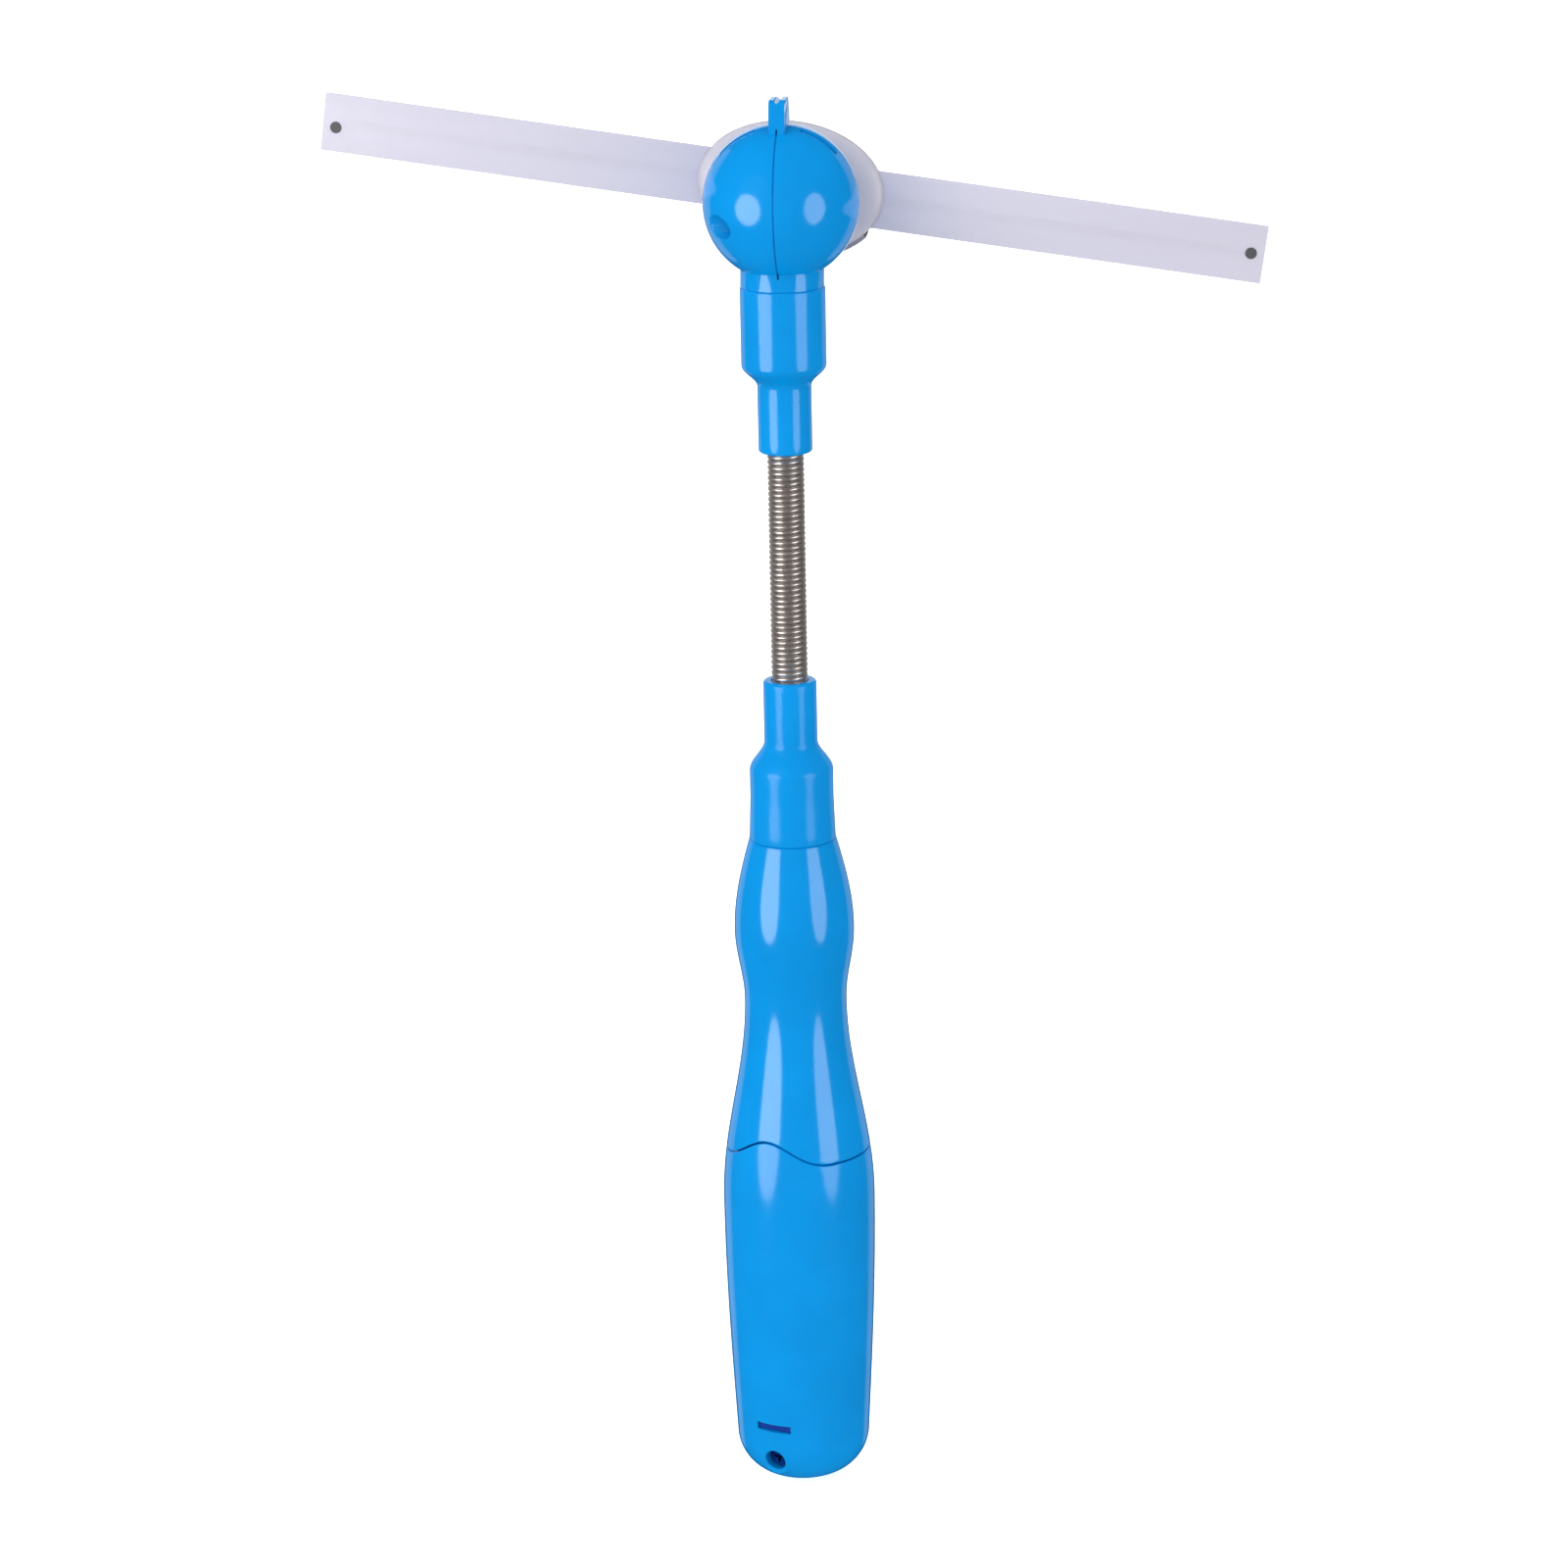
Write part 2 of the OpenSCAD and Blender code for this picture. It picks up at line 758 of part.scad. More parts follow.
module head_outside() {
    ball_frame() {
        sphere(r = ball_r, $fn = 96);
        difference() {
            translate([-fin_t / 2, 0, 0]) rotate([90, 0, 90])
                linear_extrude(height = fin_t) fin_outline();
            translate([0, 0, fin_top]) rotate([0, 45, 0]) cube([1.3, 3 * ball_r, 1.3], center = true);
            rotate([0, 90, 0]) translate([0, 0, -fin_t])
                cylinder(r = ball_in - 1, h = 2 * fin_t);
        }
    }
    rod(neck_ring_r, head_z, ball_z - ball_in + 1.2);
    rod(spigot_r, head_z - spigot_len, head_z + 1);
}

// Ribs that hold the motor, open at the bottom where the wires pass
module motor_ribs() {
    difference() {
        for (y = [-rib_y - rib_t, rib_y])
            ball_frame() translate([-ball_r, y, -ball_r]) cube([2 * ball_r, rib_t, 2 * ball_r]);
        forward() rod(motor_r, -ball_r, ball_r);
        ball_frame() translate([-channel_w / 2, -ball_r, -ball_r - 1])
            cube([channel_w, 2 * ball_r, ball_r + 1]);
    }
}

// Groove that holds the brush carrier's flange: a seat in front and a keeper behind
module carrier_groove() {
    forward() rod(seat_ring, flange_in_y + carrier_flange + glue_fit, ball_r);
    forward()
        tube(keeper_r, flange_out - 1.2, flange_in_y - keeper_t - glue_fit,
            flange_in_y - glue_fit);
}

// What stands inside the ball, from half a wall inwards
module head_inside() {
    intersection() {
        ball_frame() sphere(r = ball_r - shell_wall / 2, $fn = 96);
        union() {
            motor_ribs();
            carrier_groove();
            for (place = [rear_screw, front_screw])
                cross_rod(place, recess_r + screw_wall, -ball_r, ball_r);
        }
    }
}

module head_shell(side) {
    bore = case_screw[0] + (side > 0 ? run_fit : slide_fit);
    color(blue)
        difference() {
            union() {
                difference() {
                    head_outside();
                    ball_frame() sphere(r = ball_in, $fn = 96);
                }
                head_inside();
            }
            rod(neck_bore, head_z - spigot_len - 1, ball_z - channel_z);
            ball_frame() translate([side > 0 ? -far : 0, -far / 2, -far / 2]) cube(far);
            forward() rod(port_r, flange_in_y + carrier_flange, far);
            for (place = [rear_screw, front_screw]) cross_rod(place, bore, -far / 2, tap_depth + 1);
            cross_rod(rear_screw, recess_r, -far / 2, -rear_floor);
            cross_rod(front_screw, recess_r, -far / 2, -front_floor);
            vent(side);
            seam_groove();
        }
}

// Fine groove round the ball and the fin, where the halves meet
module seam_groove() {
    ball_frame() rotate([0, 90, 0])
        difference() {
            cylinder(r = ball_r + 1, h = seam_t, center = true, $fn = 96);
            cylinder(r = ball_r - seam_t, h = 2 * seam_t, center = true, $fn = 96);
        }
}

module head_shell_left() { head_shell(-1); }
module head_shell_right() { head_shell(1); }

module head_screws() {
    color(dark_steel) {
        ball_frame() translate([-rear_floor, rear_screw[0], rear_screw[1]])
            rotate([0, -90, 0]) screw(case_screw, rear_floor + tap_depth - 1);
        ball_frame() translate([-front_floor, front_screw[0], front_screw[1]])
            rotate([0, -90, 0]) screw(case_screw, front_floor + tap_depth - 1);
    }
}

module motor_can() {
    color(steel) forward()
        difference() {
            union() {
                rod(motor_r - glue_fit, cap_t - motor_len / 2, motor_len / 2);
                rod(nose_r, motor_len / 2 - 0.5, motor_len / 2 + nose_h);
            }
            rod(motor_r - can_t - glue_fit, -motor_len, motor_len / 2 - can_t);
            rod(shaft_r + run_fit, -motor_len, motor_len);
        }
}

module motor_magnets() {
    outer = motor_r - can_t - 2 * glue_fit;
    color(dark_steel) forward() translate([0, 0, armature_y])
        for (turn = [-50, 130])
            rotate([0, 0, turn])
                rotate_extrude(angle = 100)
                    translate([outer - magnet_t, 0]) square([magnet_t, armature_len]);
}

module motor_end_cap() {
    rear = -motor_len / 2;
    color(tan_plastic) forward()
        difference() {
            union() {
                rod(motor_r - glue_fit, rear, rear + cap_t);
                rod(motor_r - can_t - 2 * glue_fit, rear + 0.5, rear + cap_t + plug_t);
                rod(nose_r - 0.5, rear - cap_nose, rear + 0.5);
                for (side = [-1, 1])
                    translate([side * tab_x - 0.5, tab_z, rear - 1.1]) cube([1, tab_len - 0.1, 1.6]);
            }
            rod(shaft_r + run_fit, rear - cap_nose + 0.4, 0);
            rod(commutator_r + slide_fit, rear + cap_t, 0);
        }
}

module motor_armature() {
    color(copper) forward()
        difference() {
            union() {
                rod(armature_r, armature_y, armature_y + armature_len);
                rod(commutator_r, armature_y - commutator_len, armature_y + 0.5);
            }
            rod(shaft_r + run_fit / 2, -motor_len, motor_len);
        }
}

module motor_shaft() {
    color(steel) forward()
        rod(shaft_r, -motor_len / 2 - cap_nose + 0.6, plane_y + hub_front / 2);
}

module brush_carrier() {
    color(black) forward()
        difference() {
            union() {
                rod(flange_out, flange_in_y, flange_in_y + carrier_flange);
                rod(plug_r, flange_in_y, carrier_front);
            }
            rod(carrier_bore, 0, far);
            for (place = [brush_1, brush_2])
                translate(place) rod(brush_r + run_fit, 0, far);
        }
}

module contact_brushes() {
    color(copper) forward()
        for (place = [brush_1, brush_2])
            translate(place) rod(brush_r, brush_rear + 4, ring_rear - ring_gap);
}

// ---------------------------------------------------------------- rotor

module drive_hub() {
    color(tan_plastic) rotor_frame()
        difference() {
            union() {
                rod(drive_spigot, pcb_rear, strip_rear + 0.5);
                rod(drive_r, strip_rear, dome_top - hub_wall - 0.4);
            }
            rod(shaft_r + run_fit / 2, 0, plane_y + hub_front / 2 + 0.1);
            rod(case_screw[0] + run_fit, plane_y + hub_front / 2, far);
        }
}

module led_board() {
    color(green) rotor_frame()
        difference() {
            translate([0, 0, pcb_rear])
                linear_extrude(height = pcb_t) {
                    circle(pcb_r);
                    square([2 * pcb_arm, pcb_arm_w], center = true);
                }
            rod(drive_spigot + run_fit, 0, far);
            clamp_spots() rod(clamp_screw[0] + run_fit, 0, far);
        }
}

module clamp_spots() {
    for (x = [-clamp_screw_x, clamp_screw_x], y = [-clamp_screw_z, clamp_screw_z])
        translate([x, y, 0]) children();
}

module slip_rings() {
    color(copper) rotor_frame()
        for (mean = ring_mean) tube(mean + ring_w / 2, mean - ring_w / 2, ring_rear, pcb_rear);
}

module hub_leds() {
    color(milky) rotor_frame()
        for (side = [-1, 1])
            translate([0, side * led_at, 0]) {
                rod(led_r, strip_rear, strip_rear + led_h);
                translate([0, 0, strip_rear + led_h]) sphere(r = led_r, $fn = 32);
            }
}

module blade_clamp() {
    color(tan_plastic) rotor_frame()
        difference() {
            translate([-clamp_x, -clamp_w / 2, strip_front]) cube([2 * clamp_x, clamp_w, clamp_t]);
            rod(drive_r + glue_fit, 0, far);
            clamp_spots() rod(clamp_screw[0] + run_fit, 0, far);
        }
}

module clamp_screws() {
    color(steel) rotor_frame() clamp_spots()
        translate([0, 0, strip_front + clamp_t]) screw(clamp_screw, clamp_t + strip_t + pcb_t);
}

// One flat strip, with holes for the clamp's screws and its tip light
module blade(side) {
    tip_x = strip_span / 2 - tip_inset;
    color(film) rotor_frame()
        difference() {
            translate([side > 0 ? strip_root : -strip_span / 2, -strip_w / 2, strip_rear])
                cube([strip_span / 2 - strip_root, strip_w, strip_t]);
            clamp_spots() rod(clamp_screw[0] + run_fit, 0, far);
            translate([side * tip_x, side > 0 ? 0 : tip_drop, 0]) rod(tip_r + run_fit, 0, far);
        }
}

module blade_left() { blade(-1); }
module blade_right() { blade(1); }

module tip_led(side) {
    tip_x = strip_span / 2 - tip_inset;
    color(dark_steel) rotor_frame()
        translate([side * tip_x, side > 0 ? 0 : tip_drop, 0])
            rod(tip_r, strip_rear - 0.15, strip_front + 0.7);
}

module tip_led_left() { tip_led(-1); }
module tip_led_right() { tip_led(1); }

// Two fine wires along the front of each strip, from the clamp to the tip light
module blade_wires() {
    wire_start = clamp_x + 0.3;
    wire_end = strip_span / 2 - tip_inset - tip_r - 0.1;
    color(copper) rotor_frame()
        for (side = [-1, 1], row = [-1, 1])
            translate([side > 0 ? wire_start : -wire_end, row * lead_gap / 2, strip_front + lead_r])
                rotate([0, 90, 0]) cylinder(r = lead_r, h = wire_end - wire_start, $fn = 16);
}

// Radius of an oval with the given half axes, at an angle
function oval_r(a, b, turn) = a * b / sqrt(pow(b * cos(turn), 2) + pow(a * sin(turn), 2));

// How far the rim stands back from the strips' plane: more where a strip passes through
function rim_step(turn, step) = abs(oval_r(hub_a, hub_b, turn) * sin(turn)) < strip_w / 2 + 0.8 ? step : 0;

// Ring i of a domed oval skin, from its round hole out to its rim
function skin_ring(i, a, b, depth, hole, step) = [
    for (j = [0 : shell_sides - 1])
        let (
            turn = 360 * j / shell_sides,
            rim = oval_r(a, b, turn),
            first = asin(hole / rim),
            slope = first + (90 - first) * i / shell_steps
        )
        [
            rim * sin(slope) * cos(turn),
            rim * sin(slope) * sin(turn),
            max(depth * cos(slope), rim_step(turn, step))
        ]
];

// Hollow oval dome, open at its rim, with a round hole at its crown
module oval_dome(depth, hole, step) {
    n = shell_sides;
    rings = concat(
        [for (i = [0 : shell_steps]) skin_ring(i, hub_a, hub_b, depth, hole, step)],
        [for (i = [shell_steps : -1 : 0])
            skin_ring(i, hub_a - hub_wall, hub_b - hub_wall, depth - hub_wall, hole, step)]
    );
    rows = len(rings);
    polyhedron(
        points = [for (ring = rings) each ring],
        faces = [
            for (i = [0 : rows - 1], j = [0 : n - 1])
                let (k = (i + 1) % rows, m = (j + 1) % n)
                each [
                    [i * n + j, i * n + m, k * n + m],
                    [i * n + j, k * n + m, k * n + j]
                ]
        ]
    );
}

module rotor_dome() {
    color(milky) rotor_frame() translate([0, 0, plane_y]) oval_dome(hub_front, dome_hole, rim_front);
}

module rotor_back_shell() {
    color(milky) rotor_frame() translate([0, 0, plane_y]) mirror([0, 0, 1])
        oval_dome(hub_back, hub_port, rim_rear);
}

module hub_screw() {
    color(dark_steel) rotor_frame() translate([0, 0, dome_top]) screw(case_screw, hub_front / 2 - 1);
}

handle_body();
battery_cover();
cover_screw();
battery_frame();
battery_cell_1();
battery_cell_2();
battery_cell_3();
lower_contacts();
upper_contacts();
frame_screws();
control_board();
board_screws();
switch_body();
switch_plunger();
power_button();
handle_collar();
spring_foot();
neck_link_1();
neck_link_2();
neck_link_3();
neck_link_4();
neck_link_5();
neck_wires();
spring_head();
head_collar();
head_shell_left();
head_shell_right();
head_screws();
motor_can();
motor_magnets();
motor_end_cap();
motor_armature();
motor_shaft();
brush_carrier();
contact_brushes();
drive_hub();
led_board();
slip_rings();
hub_leds();
blade_clamp();
clamp_screws();
blade_left();
blade_right();
tip_led_left();
tip_led_right();
blade_wires();
rotor_back_shell();
rotor_dome();
hub_screw();
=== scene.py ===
# %% [markdown]
# # A light-up windmill wand
# A blue battery handle carries a close-wound spring. On top of the spring sits a ball with a
# motor, and the motor turns a milky hub with two long flat strips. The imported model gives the
# place of every piece in metres, so this file only makes the looks: smooth mouldings, a real
# coil, soft milky plastic, and the studio round them.

import math

import bmesh
import bpy
from mathutils import Matrix, Vector


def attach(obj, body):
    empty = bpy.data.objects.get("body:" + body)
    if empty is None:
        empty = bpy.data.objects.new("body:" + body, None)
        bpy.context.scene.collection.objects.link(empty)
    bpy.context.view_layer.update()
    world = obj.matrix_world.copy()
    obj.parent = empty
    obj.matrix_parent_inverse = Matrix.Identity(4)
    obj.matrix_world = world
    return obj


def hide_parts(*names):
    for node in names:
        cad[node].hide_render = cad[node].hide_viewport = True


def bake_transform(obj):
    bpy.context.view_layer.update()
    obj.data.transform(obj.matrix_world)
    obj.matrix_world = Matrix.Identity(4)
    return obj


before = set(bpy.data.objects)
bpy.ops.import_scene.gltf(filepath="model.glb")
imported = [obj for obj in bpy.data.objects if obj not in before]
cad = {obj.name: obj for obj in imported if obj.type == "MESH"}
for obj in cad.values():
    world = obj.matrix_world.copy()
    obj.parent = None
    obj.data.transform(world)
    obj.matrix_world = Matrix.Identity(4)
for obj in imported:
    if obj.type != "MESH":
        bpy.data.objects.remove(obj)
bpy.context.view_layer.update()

# %% [markdown]
# ## The camera
# The wand is seen from behind and a little above, with a long lens, so its upright lines stay
# nearly parallel. The view is built from three angles: how far round the wand the camera
# stands, how far it looks down, and a slight roll that lets the wand lean.

# %% Camera
LENS, SENSOR = 101.7, 36
STAND = Vector((0.117, -1.114, 0.518))
ROUND, DOWN, ROLL = 6.1, 16.08, 1.10

camera_data = bpy.data.cameras.new("studio_camera")
camera_data.lens, camera_data.sensor_width = LENS, SENSOR
camera = bpy.data.objects.new("studio_camera", camera_data)
bpy.context.scene.collection.objects.link(camera)
bpy.context.scene.camera = camera

turn, down = math.radians(ROUND), math.radians(DOWN)
level = math.cos(down)
forward = Vector((-math.sin(turn) * level, math.cos(turn) * level, -math.sin(down)))
right = forward.cross(Vector((0, 0, 1))).normalized()
upward = right.cross(forward)
roll = math.radians(ROLL)
tilted_up = upward * math.cos(roll) + right * math.sin(roll)
tilted_right = forward.cross(tilted_up)
aim = Matrix((tilted_right, tilted_up, -forward)).transposed()
camera.location = STAND
camera.rotation_euler = aim.to_euler()
print("camera", [round(v, 3) for v in STAND])

# %% [markdown]
# ## The studio
# Glossy plastic shows what stands round it. Two oval softboxes stand behind the camera, one to
# each side. They only show in reflections: two bands down every straight piece and two oval
# spots on the ball. Two dim ones in front of the wand light its rims, and a third one there
# gives the metal something to reflect when the wand is seen from the front. The colour itself
# is lit by a white sky and by one soft key from the upper left. The floor is white to the eye,
# but it stays out of reflections and fill, so that the blue stays deep between the highlights.

# %% Sky and floor
studio = bpy.context.scene
studio.view_settings.view_transform = "Standard"
world = bpy.data.worlds.new("white_studio")
studio.world = world
world.use_nodes = True
sky = world.node_tree
sky.nodes.clear()
sky_out = sky.nodes.new("ShaderNodeOutputWorld")
ray = sky.nodes.new("ShaderNodeLightPath")
SKY_FILL, SKY_GLOSS = 0.90, 0.02


def sky_light(strength):
    """White light from every side."""
    node = sky.nodes.new("ShaderNodeBackground")
    node.inputs["Color"].default_value = (1, 1, 1, 1)
    node.inputs["Strength"].default_value = strength
    return node.outputs[0]


def sky_pick(switch, otherwise, chosen):
    """One of two lights: the chosen one for the rays that the switch names."""
    node = sky.nodes.new("ShaderNodeMixShader")
    sky.links.new(switch, node.inputs[0])
    sky.links.new(otherwise, node.inputs[1])
    sky.links.new(chosen, node.inputs[2])
    return node.outputs[0]


dim_in_gloss = sky_pick(ray.outputs["Is Glossy Ray"], sky_light(SKY_FILL), sky_light(SKY_GLOSS))
white_to_eye = sky_pick(ray.outputs["Is Camera Ray"], dim_in_gloss, sky_light(1.0))
sky.links.new(white_to_eye, sky_out.inputs["Surface"])
print("sky fill", SKY_FILL, "and in gloss", SKY_GLOSS)

FLOOR_REACH, FLOOR_DROP = 9, 0.0002
FLOOR_PALE, FLOOR_GLOW = 0.93, 0.75
floor_form = bmesh.new()
bmesh.ops.create_grid(floor_form, x_segments=2, y_segments=2, size=FLOOR_REACH)
floor_mesh = bpy.data.meshes.new("floor")
floor_form.to_mesh(floor_mesh)
floor_form.free()
floor = bpy.data.objects.new("floor", floor_mesh)
floor.location.z = -FLOOR_DROP
floor.visible_glossy = False
floor.visible_diffuse = False
floor.visible_shadow = False
studio.collection.objects.link(floor)

pale = bpy.data.materials.new("pale_floor")
pale.use_nodes = True
pale_shader = pale.node_tree.nodes["Principled BSDF"]
pale_shader.inputs["Base Color"].default_value = (FLOOR_PALE, FLOOR_PALE, FLOOR_PALE, 1)
pale_shader.inputs["Roughness"].default_value = 0.9
pale_shader.inputs["Emission Color"].default_value = (1, 1, 1, 1)
pale_shader.inputs["Emission Strength"].default_value = FLOOR_GLOW
floor_mesh.materials.append(pale)
print("floor", 2 * FLOOR_REACH, "m across")


# %% Softboxes
WAND_MIDDLE = 0.2


def softbox(name, azimuth, distance, width, height, radiance, middle, glossy=True):
    """A round area light that faces the wand. It is either seen in gloss or lights the colour."""
    data = bpy.data.lights.new(name, "AREA")
    data.shape = "ELLIPSE"
    data.size, data.size_y = width, height
    data.energy = radiance * math.pi * math.pi / 4 * width * height
    lamp = bpy.data.objects.new(name, data)
    way = math.radians(azimuth)
    lamp.location = (math.sin(way) * distance, -math.cos(way) * distance, middle)
    lamp.rotation_euler = (math.radians(90) - math.atan2(middle - WAND_MIDDLE, distance), 0, way)
    lamp.visible_diffuse = not glossy
    lamp.visible_glossy = glossy
    studio.collection.objects.link(lamp)


# Azimuth in degrees, then metres: distance, width, height. Then radiance and middle height.
softbox("softbox_left", ROUND - 50, 1.6, 1.15, 1.2, 5.4, 0.23)
softbox("softbox_right", ROUND + 50, 1.6, 0.95, 1.2, 3.6, 0.23)
softbox("rim_left", ROUND - 142, 1.6, 0.9, 2.2, 0.5, 0.1)
softbox("rim_right", ROUND + 142, 1.6, 0.9, 2.2, 0.4, 0.1)
softbox("front_soft", ROUND + 180, 1.8, 1.3, 1.5, 1.0, 0.3)
softbox("key_upper_left", ROUND - 45, 1.8, 1.5, 1.5, 2.3, 1.2, glossy=False)

# %% [markdown]
# ## Finishes
# Every finish is a small node tree on Object coordinates. All objects sit at the origin, so
# these coordinates are metres on the wand, and a pattern has its real scale. Each finish has
# a slow drift of colour and a fine change of gloss, and all but the clear lamps have a very
# fine bump. A flat colour never looks like a real moulding.


# %% Node helpers
def tree_of(name):
    """A new material with its tree, and its one Principled shader."""
    finish = bpy.data.materials.new(name)
    finish.use_nodes = True
    tree = finish.node_tree
    return finish, tree, tree.nodes["Principled BSDF"]


def noise(tree, scale, detail=3.0, stretch=(1, 1, 1), roughness=0.5):
    """Noise on Object coordinates, in cells a metre."""
    place = tree.nodes.new("ShaderNodeTexCoord")
    mapping = tree.nodes.new("ShaderNodeMapping")
    mapping.inputs["Scale"].default_value = stretch
    texture = tree.nodes.new("ShaderNodeTexNoise")
    texture.inputs["Scale"].default_value = scale
    texture.inputs["Detail"].default_value = detail
    texture.inputs["Roughness"].default_value = roughness
    tree.links.new(place.outputs["Object"], mapping.inputs["Vector"])
    tree.links.new(mapping.outputs["Vector"], texture.inputs["Vector"])
    return texture.outputs["Fac"]


def spread(tree, value, low, high, from_low=0.3, from_high=0.7):
    """Maps a value between two others. Noise stays mostly within 0.3 and 0.7."""
    node = tree.nodes.new("ShaderNodeMapRange")
    node.inputs["From Min"].default_value = from_low
    node.inputs["From Max"].default_value = from_high
    node.inputs["To Min"].default_value = low
    node.inputs["To Max"].default_value = high
    tree.links.new(value, node.inputs["Value"])
    return node.outputs["Result"]


def mixed(tree, amount, first, second):
    """A colour between two colours. Each is three numbers or a socket."""
    node = tree.nodes.new("ShaderNodeMix")
    node.data_type = "RGBA"
    tree.links.new(amount, node.inputs["Factor"])
    for socket, colour in ((node.inputs[6], first), (node.inputs[7], second)):
        if isinstance(colour, bpy.types.NodeSocket):
            tree.links.new(colour, socket)
        else:
            socket.default_value = (*colour, 1)
    return node.outputs[2]


def bumped(tree, shader, height, depth, strength):
    """Gives a shader a bump of a depth in metres."""
    node = tree.nodes.new("ShaderNodeBump")
    node.inputs["Strength"].default_value = strength
    node.inputs["Distance"].default_value = depth
    tree.links.new(height, node.inputs["Height"])
    tree.links.new(node.outputs["Normal"], shader.inputs["Normal"])


def shade(colour, factor):
    """A colour made darker or lighter."""
    return tuple(min(1, c * factor) for c in colour)


# %% [markdown]
# ### Blue moulding
# The blue pieces are injection moulded: nearly one colour, with a faint cloudy drift from the
# way the plastic flowed, and small dull scuffs from handling. The battery cover and the upper
# collar are a little duller than the handle and the ball, and the lower collar is worn. The frame
# behind the cover's slot is blue plastic, darkened to a deep, dull blue as painted shade of the
# slot. So the same recipe is used four times.


# %% Blue plastic
BLUE = (0.001, 0.305, 0.79)
# Blue darkened as painted shade of the cover's slot, for the frame that shows through it.
PAINTED_SLOT_SHADE_BLUE = (0.001, 0.048, 0.36)
SCUFF_BLUE = (0.02, 0.34, 0.80)


def blue_moulding(name, roughness, colour=BLUE, shine=0.5):
    finish, tree, shader = tree_of(name)
    drift = spread(tree, noise(tree, 55), 0, 1)
    cloudy = mixed(tree, drift, shade(colour, 0.94), shade(colour, 1.05))
    scuffs = spread(tree, noise(tree, 420, 6, (1, 1, 0.35), 0.62), 0, 0.5, 0.70, 0.78)
    worn = mixed(tree, scuffs, cloudy, SCUFF_BLUE)
    tree.links.new(worn, shader.inputs["Base Color"])
    dullness = spread(tree, noise(tree, 800, 4), roughness * 0.85, roughness * 1.2)
    tree.links.new(dullness, shader.inputs["Roughness"])
    shader.inputs["IOR"].default_value = 1.49
    shader.inputs["Specular IOR Level"].default_value = shine
    bumped(tree, shader, noise(tree, 1500, 5), 0.00002, 0.12)
    return finish


glossy_blue = blue_moulding("glossy_blue_plastic", 0.12)
satin_blue = blue_moulding("satin_blue_plastic", 0.14, shine=0.38)
worn_blue = blue_moulding("worn_blue_plastic", 0.17, shine=0.22)
# The frame's finish: its deep, dull blue is painted shade of the slot.
slot_shade_blue = blue_moulding("blue_plastic_painted_slot_shade", 0.5, PAINTED_SLOT_SHADE_BLUE, shine=0.1)
print("blues", [finish.name for finish in (glossy_blue, satin_blue, worn_blue, slot_shade_blue)])

# %% [markdown]
# ### Milky plastic
# The hub and the strips pass some light. The hub is a glossy moulding. The strips are cut from
# a soft sheet, so they are duller, with faint streaks along their length.


# %% Milky finishes
def milky(name, colour, roughness, streaks, passing):
    finish, tree, shader = tree_of(name)
    drift = spread(tree, noise(tree, 45, 4, streaks), 0, 1)
    cloudy = mixed(tree, drift, shade(colour, 0.95), shade(colour, 1.03))
    tree.links.new(cloudy, shader.inputs["Base Color"])
    dullness = spread(tree, noise(tree, 500, 4), roughness * 0.85, roughness * 1.25)
    tree.links.new(dullness, shader.inputs["Roughness"])
    shader.inputs["Subsurface Weight"].default_value = passing
    shader.inputs["Subsurface Radius"].default_value = (0.006, 0.006, 0.0065)
    shader.inputs["Subsurface Scale"].default_value = 1.0
    shader.inputs["IOR"].default_value = 1.45
    bumped(tree, shader, noise(tree, 260, 4, streaks), 0.00006, 0.25)
    return finish


EVEN, ALONG_STRIP = (1, 1, 1), (0.15, 1, 1)
milky_hub = milky("milky_hub_plastic", (0.685, 0.66, 0.79), 0.34, EVEN, passing=0.5)
milky_strip = milky("milky_soft_strip", (0.62, 0.605, 0.73), 0.38, ALONG_STRIP, passing=0.2)
button_white = milky("white_button_plastic", (0.80, 0.80, 0.80), 0.25, EVEN, passing=0.1)
print("milky", [finish.name for finish in (milky_hub, milky_strip, button_white)])


# %% [markdown]
# ### Metals
# Bare metal has almost no colour of its own beyond its reflections, so its grain matters
# most. All the metals share one grain and are a little blotchy, and they differ in colour and
# gloss. The spring is not quite bare, because drawn wire carries a film of oil. The screws in
# the blue mouldings' recesses are coloured dark blue as painted shade of those recesses, and
# the others are zinc plated.


# %% Metals
METAL_GRAIN = 1200


def metal(name, colour, roughness, bare=1.0):
    finish, tree, shader = tree_of(name)
    drift = spread(tree, noise(tree, 260, 4), 0, 1)
    blotchy = mixed(tree, drift, shade(colour, 0.88), colour)
    tree.links.new(blotchy, shader.inputs["Base Color"])
    shader.inputs["Metallic"].default_value = bare
    dullness = spread(tree, noise(tree, METAL_GRAIN, 5), roughness * 0.8, roughness * 1.3)
    tree.links.new(dullness, shader.inputs["Roughness"])
    bumped(tree, shader, noise(tree, METAL_GRAIN * 2, 3), 0.00001, 0.3)
    return finish


spring_steel = metal("drawn_spring_steel", (0.675, 0.615, 0.58), 0.34, bare=0.86)
screw_zinc = metal("zinc_plated_screw", (0.46, 0.46, 0.48), 0.34)
# Dark blue screw colour: painted shade of the recesses these screws sit in.
screw_recess_shade = metal("screw_painted_recess_shade", (0.003, 0.04, 0.22), 0.5)
motor_steel = metal("plated_motor_steel", (0.62, 0.62, 0.63), 0.28)
nickel = metal("nickel_contact", (0.68, 0.66, 0.62), 0.22)
copper = metal("bright_copper", (0.80, 0.42, 0.24), 0.26)
metals = (spring_steel, screw_zinc, screw_recess_shade, motor_steel, nickel, copper)
print("metals", [finish.name for finish in metals])


# %% [markdown]
# ### The pieces inside
# Most of these only show when the wand is opened or a joint moves, but each still gets the
# finish of its real material.


